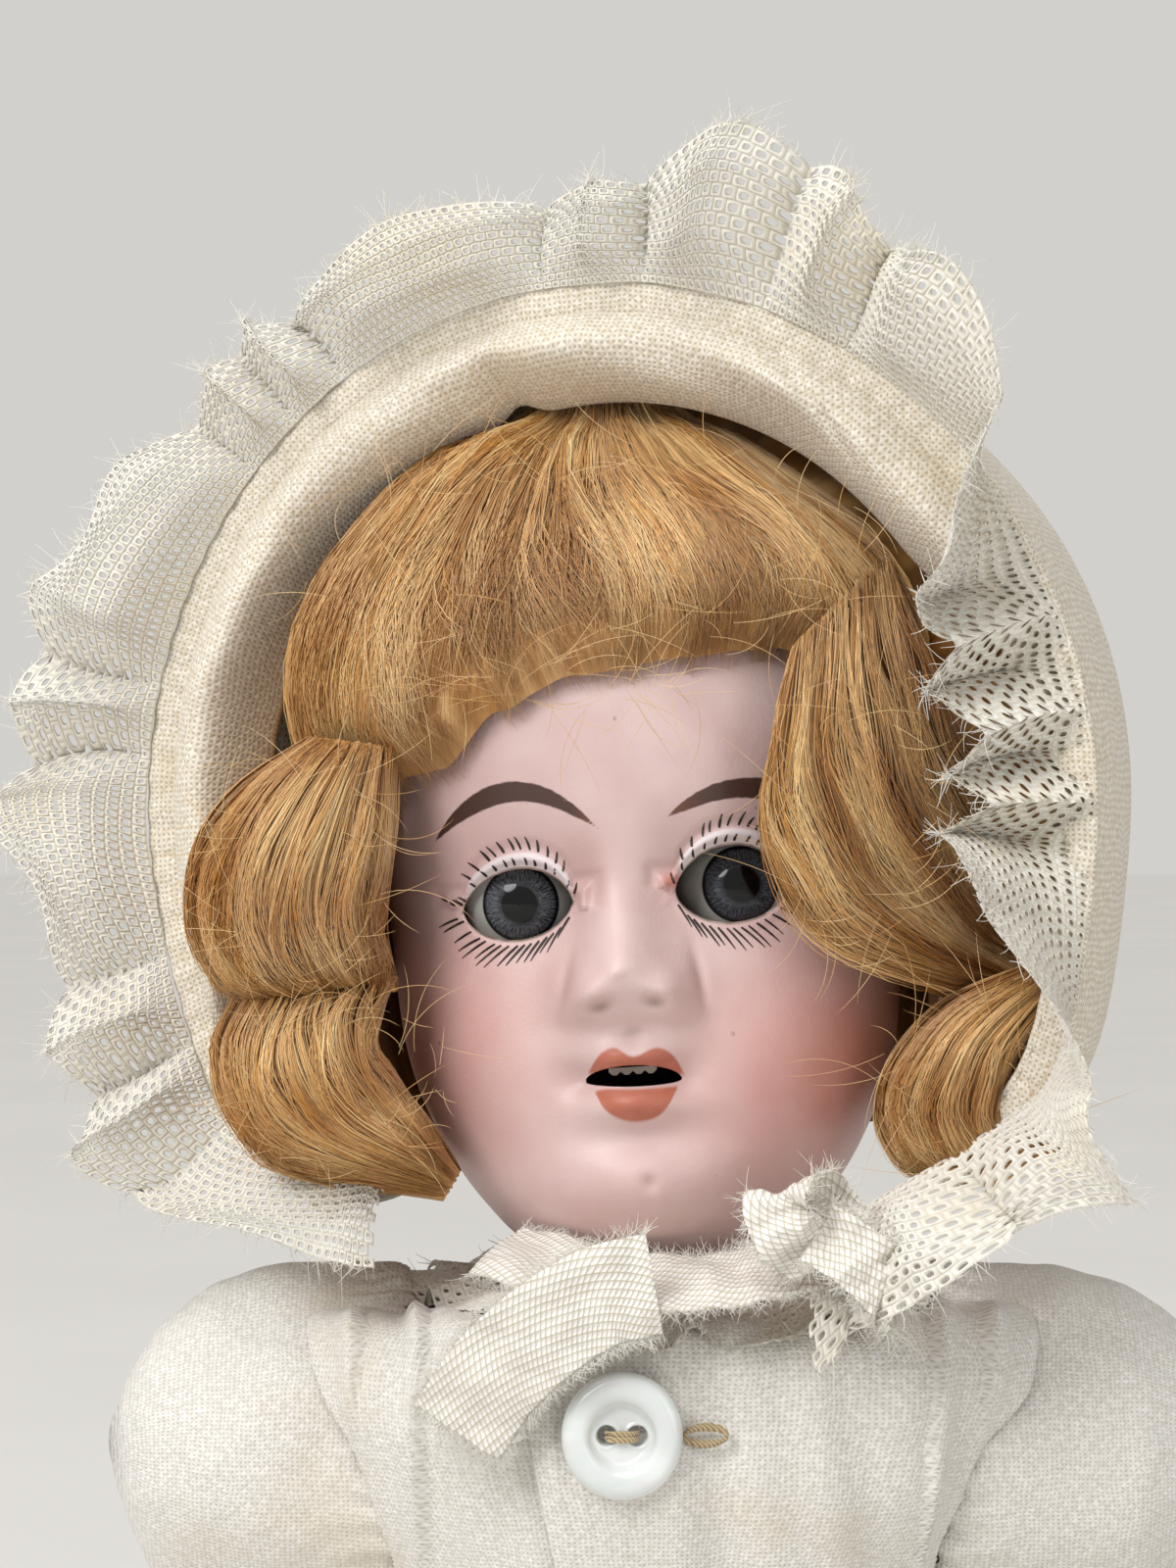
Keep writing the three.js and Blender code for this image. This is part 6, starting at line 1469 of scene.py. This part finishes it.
def make_skirt():
    """The skirt's two halves, one over each leg: both keep to the trunk at the waist and behind, and lie over their
    thigh in front. They ride no part of the body, so the lap stays put when the legs move."""
    for name, first, replaced in (("left", 0.0, ("skirt",)), ("right", 0.5, ())):
        u, v = parameters(161, 92, (first, first + 0.5))
        outer = skirt_grid(u, v, 0.0)
        piece = cloth_piece("lawn_skirt_" + name, outer, skirt_grid(u, v, -0.7), None, grid_uv(outer), LAWN,
                replaced,
                            "lawn", flat=(0.13, 0.165), held="gathered", area=grid_area(outer))
        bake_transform(piece)


# The lower leg's radius at its distances in front of the knee
LEG_ROWS = [(4.4, 6.2), (12.2, 8.0), (19.8, 8.3), (44.2, 5.4), (52.0, 5.4)]


def knit_look():
    """Ribbed cotton stockinet: fine upright ribs of stitches, off-white, with painted shade, a little grey, in the
    hollows.
    """
    look = Look("ribbed_sock", Roughness=0.9, Specular_IOR_Level=0.2, Sheen_Weight=0.3)
    add = look.add
    uv = add("TexCoord", out="UV")
    rib, stitch = (add("ABSOLUTE", add("SINE", add("MULTIPLY", add("SeparateXYZ", uv, out=way),
                                                                  math.pi / pitch)))
                   for way, pitch in (("X", 0.9), ("Y", 0.5)))
    height = add("MULTIPLY_ADD", stitch, 0.35, rib)
    return look.finish(add("Mix", add("MapRange", height, 0.1, 1.1), "#c5bda9", "#ece7da"), height, 0.12)


def make_socks():
    material = knit_look()
    for name, side in (("right", -1), ("left", 1)):
        turn, v = np.meshgrid(round_angles(90), np.linspace(0, 1, 36))
        drop = mix(25.0, 48.9, v)
        base = np.interp(drop, *np.array(LEG_ROWS).T)
        slouch = 0.35 * np.sin(drop * 1.5 + 0.8 * np.sin(turn * 3)) * smooth(0.35, 0.8, v) + 0.35 * smooth(0.09,
                0.05, v)

        def tube(radius):
            return joined(side * 13.2 + radius * np.sin(turn), -64 - drop, 11 + radius * np.cos(turn))

        outer = tube(base + 1.0 + slouch)
        cloth_piece("knit_sock_" + name, outer, tube(base + 0.3), name + "_lower_leg", joined(turn * 8, drop),
                material,
                    ("sock_" + name,), "lawn", True, flat=(0.055,
                            0.026), held="stretched", area=grid_area(outer))


# Ribbon

def ribbon_look():
    """White satin ribbon in a diagonal bead weave: soft plump stitches in slanting rows, with a silky lustre and
    cream ageing."""
    look = Look("woven_ribbon", Roughness=0.42, Specular_IOR_Level=0.5, Sheen_Weight=0.4, Sheen_Roughness=0.3)
    add = look.add
    uv = add("TexCoord", out="UV")
    x, y = add("SeparateXYZ", uv, out="X"), add("SeparateXYZ", uv, out="Y")
    rows = ((x, 0.75, y, 0.62), (y, -0.3, x, 0.8))
    one, two = (add("ABSOLUTE", add("SINE", add("MULTIPLY", add(
        "MULTIPLY_ADD", first, slant, second), math.pi / pitch))) for first, slant, second, pitch in rows)
    height = add("MULTIPLY", one, two)
    tone = add("Mix", add("TexNoise", add("TexCoord", out="Object"), 300), "#e9e4da", "#faf8f3")
    # painted shade: the hollows between the stitches are coloured darker
    return look.finish(add("Mix", add("MapRange", height, 0.0, 0.35), "#c6bda9", tone), height, 0.12)


RIBBON = ribbon_look()


def ribbon_piece(name, rows, body, replaces, seed, width=9.5, steps=120, crumple=0.3, ends=0, declare=True):
    """A ribbon along rows of world place and direction of its width, a little crumpled, with feathery edges and
    so many threads at its frayed end."""
    columns = 40
    row = spline(rows, np.linspace(0, len(rows) - 1, steps))
    centre, wide = row[:, :3], unit(row[:, 3:])
    along = unit(np.gradient(centre, axis=0))
    wide = unit(wide - along * (wide * along).sum(1, keepdims=True))
    normal = np.cross(along, wide)
    s, t = parameters(columns, steps, (-0.5, 0.5))
    wave = waves(seed, 6.0, t * 30, s * 8) + 0.25 * waves(seed + 1, 5.0, t * 60, s * 18) + 1.1 * (s * 2) ** 2
    grid = centre[:, None] + wide[:, None] * (s * width)[..., None] + normal[:, None] * (crumple * wave)[...,
            None]
    length = np.concatenate([[0], np.cumsum(np.linalg.norm(np.diff(centre, axis=0), axis=1))])
    half = normal[:, None] * 0.17
    cut = dict(flat=(0.01, max(length[-1] * METRE, 0.0101)), held="stretched") if declare else {}
    piece = cloth_piece(name, grid + half, grid - half, body, joined(s * width, length[:, None]), RIBBON,
            replaces,
                        "ribbon", **cut)
    source = np.random.default_rng(seed + 5)
    paths, k = [], np.linspace(0, 1, 6)[:, None]
    for edge, sign in ((0, -1), (columns - 1, 1)):
        for _ in range(int(length[-1] * 14)):
            j = source.integers(0, steps)
            way = wide[j] * sign + along[j] * source.normal(0, 0.8) + normal[j] * source.normal(0, 0.5)
            long = source.uniform(0.3, 1.4)
            paths.append(grid[j, edge] + way * k * long + source.normal(0, 0.2, 3) * long * k ** 2)
    for _ in range(ends):
        i = source.integers(0, columns)
        way = along[-1] + wide[-1] * source.normal(0, 0.35) + normal[-1] * source.normal(0, 0.3)
        long = source.uniform(0.8, 3.0)
        paths.append(grid[-1, i] + way * k * long + source.normal(0, 0.5, 3) * long * k ** 2)
    return piece, loose_ends(name + "_threads", paths, 0.045, 3, np.linspace(1, 0.4, 6), LACE, body, "ribbon")


def make_ribbons():
    """The frayed tail over the chest, held by the dress and the knot; the band under the chin; and the knot."""
    tail = [(-2, -29.4, 96.2, -0.35, -0.1, 0.93), (-7, -29.7, 95.2, -0.4, -0.05, 0.85),
            (-12.5, -29.4, 91.8, -0.62, 0, 0.66), (-17, -27.8, 87.4, -0.82, 0.05, 0.42),
            (-20.5, -25.8, 82.0, -0.9, 0.05, 0.3)]
    for piece in ribbon_piece("white_ribbon_tail", tail, None, ("ribbon_tail",), 101, ends=150):
        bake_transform(piece)
    chin = [(15.5, -22.0, 98.6, -0.1, 0.85, 0.5), (8, -24.2, 97.0, 0, 0.9, 0.42),
            (1, -24.6, 96.2, 0, 0.9, 0.42),
            (-7.5, -23.8, 96.4, 0.1, 0.88, 0.45), (-17, -18.5, 98.6, 0.3, 0.85, 0.42)]
    ribbon_piece("white_chin_ribbon", chin, "head", ("chin_ribbon",), 103)
    loop = [(13.5, -28.5, 98.6, 0.25, -0.3, 0.9), (10.3, -31.0, 101.2, 0.55, -0.1, 0.8),
            (9.4, -30.4, 104.6, 0.9, 0.1, 0.35), (12.8, -28.2, 104.2, 0.8, 0.3, 0.1),
            (15.6, -27.4, 99.8, 0.5, -0.1, 0.8)]
    ribbon_piece("white_knot_loop", loop, "head", ("ribbon_knot",), 105, 6.5, 60, 0.5, declare=False)
    end = [(13.2, -29.2, 101.0, 0.5, 0.1, 0.85), (16.4, -31.0, 99.2, 0.55, 0.1, 0.8),
           (19.4, -30.4, 96.4, 0.65, 0.1, 0.7), (21.0, -28.6, 94.2, 0.7, 0.2, 0.6)]
    ribbon_piece("white_knot_end", end, "head", (), 107, 6.0, 60, 0.5, 150, False)


# Button

def pearl_look():
    """Mother-of-pearl: milky and faintly banded, with soft pink and green lights under a polished surface."""
    look = Look("mother_of_pearl", Roughness=0.2, Coat_Weight=0.6, Coat_Roughness=0.08, Subsurface_Weight=0.08,
                Specular_IOR_Level=0.6)
    add = look.add
    where = add("Mapping", add("TexCoord", out="Object"), Scale=(1, 1, 1.7))
    band = add("TexWave", where, 45, 5, 3, wave_type="BANDS", bands_direction="DIAGONAL", out="Fac")
    tint = add("TexNoise", where, 260, 2)
    colour = add("Mix", band, "#dcdedc", "#eeefed")
    colour = add("Mix", add("MapRange", tint, 0.5, 0.75, 0, 0.35), colour, "#e6cfd2")
    colour = add("Mix", add("MapRange", tint, 0.5, 0.25, 0, 0.3), colour, "#c9dad2")
    return look.finish(colour, band, 0.004)


BUTTON_AT, BUTTON_RADIUS, BUTTON_THICK = np.array([-5.0, -24.6, 81.6]), 5.7, 2.2


def make_button():
    """A ring button: a rounded rim, a steep inner step and a dished oval well with two thread holes."""
    profile = [(0.0, 0.36), (0.2, 0.37), (0.38, 0.4), (0.44, 0.46), (0.5, 0.62), (0.56, 0.84), (0.64, 0.97),
            (0.74, 1.0),
               (0.86, 0.97), (0.95, 0.82), (0.995, 0.58), (1.0, 0.4), (0.96, 0.12), (0.88, 0.0)]
    columns, rows = 108, 90
    theta, v = np.meshgrid(round_angles(columns), np.linspace(0, 1, rows))
    share, high = np.moveaxis(spline(profile, v * (len(profile) - 1)), -1, 0)
    share = np.clip(share, 0.004, 1.01)
    oval = 1 - 0.05 * np.cos(2 * theta) * smooth(0.75, 0.4, share)
    x, z = BUTTON_RADIUS * share * oval * np.sin(theta), 1.06 * BUTTON_RADIUS * share * np.cos(theta)
    hole = np.minimum(np.hypot(x - 1.45, z), np.hypot(x + 1.45, z))
    high = high - 1.05 * smooth(1.0, 0.72, hole) * (share < 0.5)
    high = high + 0.07 * np.exp(-((hole - 1.12) / 0.2) ** 2) * (share < 0.5)
    points = BUTTON_AT + joined(x, -high * BUTTON_THICK, z)
    mesh_piece("shell_button", points.reshape(-1, 3), grid_faces(columns, rows, True), pearl_look(), "trunk",
               ("front_button",), slot="shell")
    paths, t = [], np.linspace(-1, 1, 16)
    source = np.random.default_rng(112)
    for _ in range(9):
        bow = 0.5 * source.uniform(-1, 1)
        z = 0.42 * source.uniform(-1, 1) + bow * 0.3 * (1 - t ** 2)
        y = -0.62 * BUTTON_THICK + 0.9 * np.abs(t) ** 5 - 0.12 * source.uniform(0, 1) * (1 - t ** 2)
        paths.append(BUTTON_AT + joined(t * 1.5, y, z))
    look = Look("tan_thread", Roughness=0.8, Sheen_Weight=0.2)
    add = look.add
    twist = add("TexWave", add("TexCoord", out="Object"), 1300, bands_direction="DIAGONAL", out="Fac")
    tan = look.finish(add("Mix", twist, "#8f7a58", "#cbb894"))
    points, faces = tubes(np.array(paths), 0.17, 6, 1.0)
    mesh_piece("button_stitches", points, faces, tan, "trunk", ("button_thread",), slot="lawn")
    source = np.random.default_rng(113)
    a = round_angles(74)[:, None]
    rise = table([(0, 0), (0.5, 1), (1, 0)], np.linspace(0, 1, 6))
    reach = np.linspace(-0.1, 0.62, 6) * source.uniform(0.85, 1.15, (74, 1))
    paths = joined(2.9 + 1.9 * np.cos(a) + 0.35 * np.cos(a) * reach, -24.05 - 0.2 * rise,
                   81.4 + 0.55 * np.sin(a) + (np.sin(a) + 0.15 * np.cos(a)) * reach)
    points, faces = tubes(paths, 0.11, 5, 1.0)
    mesh_piece("buttonhole_stitches", points, faces, tan, "trunk", slot="lawn")


# Body of the doll, and its inner works

def composition_look():
    """Painted composition: satin flesh paint over pressed pulp, rubbed paler on edges, yellowed and crazed."""
    look = Look("painted_composition", Roughness=0.38, Specular_IOR_Level=0.5)
    add = look.add
    where = add("TexCoord", out="Object")
    colour = add("Mix", add("MapRange", add("TexNoise", where, 60), 0.3, 0.7), "#d29c7d", "#e4b898")
    crack = add("TexVoronoi", where, Scale=330, feature="DISTANCE_TO_EDGE")
    line = add("MULTIPLY", add("MapRange", crack, 0.03, 0.0),
            add("MapRange", add("TexNoise", where, 90, 2), 0.5, 0.65))
    colour = add("Mix", add("MULTIPLY", line, 0.55), colour, "#7b5138")
    rub = add("MapRange", add("TexNoise", where, 170, 4), 0.62, 0.7, 0, 0.6)
    colour = add("Mix", rub, colour, "#c9a982")
    return look.finish(colour, add("SUBTRACT", add("TexNoise", where, 900, 2), line), 0.06)


def wood_look():
    """Turned beech: fine straight grain with short dark flecks, bare and a little greyed."""
    look = Look("turned_wood", Roughness=0.6)
    add = look.add
    grain = add("TexNoise", add("Mapping", add("TexCoord", out="Object"), Scale=(1, 1, 0.15)), 900, 4)
    fleck = add("MapRange", add("TexNoise", add("Mapping", add("TexCoord", out="Object"), Scale=(3, 3, 0.5)),
            500, 2), 0.62, 0.7)
    colour = add("Mix", add("MapRange", grain, 0.3, 0.7), "#9c7446", "#c9a26d")
    return look.finish(add("Mix", add("MULTIPLY", fleck, 0.5), colour, "#6b4a2a"), grain, 0.05)


def plain_look(name, first, second, size, roughness, depth=0.05, metallic=0.0, **more):
    """A surface of two close tones in fine noise, with the same noise as its grain."""
    look = Look(name, Roughness=roughness, Metallic=metallic, **more)
    add = look.add
    grain = add("TexNoise", add("TexCoord", out="Object"), size, 4)
    return look.finish(add("Mix", add("MapRange", grain, 0.3, 0.7), first, second), grain, depth)


def leather_look():
    """Dark brown oilcloth leather: a fine pebbled grain, with scuffs that show paler on raised places."""
    look = Look("shoe_oilcloth", Roughness=0.42, Specular_IOR_Level=0.5)
    add = look.add
    where = add("TexCoord", out="Object")
    pebble = add("TexVoronoi", where, Scale=1100, feature="SMOOTH_F1")
    scuff = add("MapRange", add("TexNoise", where, 260, 4), 0.58, 0.72, 0, 0.5)
    return look.finish(add("Mix", scuff, add("Mix", pebble, "#2c1a12", "#4a3022"), "#8a6a50"), pebble, 0.06)


def refine(node, material, voxel, body):
    """A smoother copy of a rigid node of the frame, remeshed finely, which stands for it."""
    source = bpy.data.objects[node]
    co = np.empty(len(source.data.vertices) * 3)
    source.data.vertices.foreach_get("co", co)
    world = (np.c_[co.reshape(-1, 3), np.ones(len(co) // 3)] @ np.array(source.matrix_world).T)[:, :3] / METRE
    points, quads = remeshed(world, [tuple(p.vertices) for p in source.data.polygons], voxel, 4)
    mesh_piece("fine_" + node, points, quads, material, body, (node,), slot="composition")


def finish_frame():
    """Gives every carried-over node of the frame its material, and smooths the limbs' facets away."""
    composition, wood, leather = composition_look(), wood_look(), leather_look()
    steel = plain_look("dull_steel", "#6f7073", "#94969a", 700, 0.38, 0.02, 1.0)
    elastic = plain_look("braided_elastic", "#b8ac90", "#ded4ba", 1500, 0.8, 0.1)
    plaster = plain_look("poured_plaster", "#d6d0c2", "#f0ece2", 240, 0.9, 0.1)
    looks = {
        "torso": composition, "neck_plug": wood, "neck_hook": steel, "eye_wire": steel, "arm_elastic": elastic,
        "leg_elastic": elastic, "pate": plain_look("pressed_cork", "#7d5632", "#b98a58", 420, 0.9, 0.2),
        "eye_weight": plain_look("grey_lead", "#4c4d52", "#6e7076", 300, 0.6, 0.08, 0.9),
        # painted shade: the teeth are a dark grey-brown, not white, partly for their age and mostly as painted shade
        # inside the mouth
        "teeth": plain_look("milk_glass", "#8d8375", "#a89e90", 200, 0.15, 0.01, Coat_Weight=0.5)}
    paired = dict(plaster_bed=plaster, elbow_ball=wood, knee_ball=wood, thigh=composition,
            upper_arm=composition,
                  shoe=leather, shoe_strap=leather)
    for side in ("_right", "_left"):
        looks.update({node + side: material for node, material in paired.items()})
        for node, voxel in (("hand", 0.42), ("forearm", 0.6), ("lower_leg", 0.7)):
            refine(node + side, composition, voxel, side[1:] + "_" + node)
    for node, material in looks.items():
        mesh = bpy.data.objects[node].data
        mesh.materials.clear()
        mesh.materials.append(material)


make_bodice()
make_collar()
for arm_name, arm_side in (("right", -1), ("left", 1)):
    make_sleeve(arm_name, arm_side)
    make_cuff(arm_name, arm_side)
make_skirt()
make_socks()
make_ribbons()
make_button()
finish_frame()


# Floor, lights and camera

def make_stage():
    """A plain pale floor that runs far back, three large soft lamps and a pale even world."""
    look = Look("pale_floor", Roughness=0.9)
    add = look.add
    tone = add("TexNoise", add("TexCoord", out="Object"), 6, 2)
    paint = look.finish(add("Mix", add("MapRange", tone, 0.3, 0.7), "#e5e3df", "#e8e6e2"))
    corners = 6000.0 * np.array([(-1, -1, 0), (1, -1, 0), (1, 1, 0), (-1, 1, 0)])
    mesh_piece("studio_floor", corners, [(0, 1, 2, 3)], paint, None)
    lamps = [
        ("key_lamp", "AREA", (-825, -1075, 980), 750, 13.75), ("fill_lamp", "AREA", (430, -420, 190), 380, 0.5),
        ("sky_lamp", "SUN", (-160, -260, 900), 0, 1.55),
    ]
    for name, kind, place, width, power in lamps:
        lamp = bpy.data.lights.new(name, kind)
        lamp.energy = power
        if kind == "SUN":
            lamp.angle = math.radians(55)
        else:
            lamp.shape, lamp.size = "DISK", width * METRE
        obj = bpy.data.objects.new(name, lamp)
        obj.location = [p * METRE for p in place]
        way = np.array([0, 0, 130.0]) - np.array(place, float)
        obj.rotation_euler = Vector(way).to_track_quat("-Z", "Y").to_euler()
        bpy.context.scene.collection.objects.link(obj)
    world = bpy.data.worlds.new("pale_world")
    world.use_nodes = True
    add = functools.partial(add_node, world.node_tree)
    pale = add("LightPath", out="Is Camera Ray")
    for ray in ("Is Glossy Ray", "Is Transmission Ray"):
        pale = add("ADD", pale, add("LightPath", out=ray), use_clamp=True)
    background = world.node_tree.nodes["Background"]
    background.inputs["Strength"].default_value = 1.0
    world.node_tree.links.new(add("Mix", pale, "#918f8d", "#d2d0cc"), background.inputs["Color"])
    bpy.context.scene.world = world


def make_camera():
    """The photograph's camera: level, in front of the face, with the long side of the frame upright."""
    data = bpy.data.cameras.new("camera")
    half = FRAME_PIXELS[1] / 2 * PIXEL / FACE_PLANE
    data.lens = data.sensor_width / 2 / half
    data.clip_start, data.clip_end = 0.01, 50
    obj = bpy.data.objects.new("camera", data)
    obj.location = (CAMERA * METRE).tolist()
    obj.rotation_euler = (math.pi / 2, 0, 0)
    bpy.context.scene.collection.objects.link(obj)
    bpy.context.scene.camera = obj


make_stage()
make_camera()
bpy.context.scene.view_settings.view_transform = "Standard"
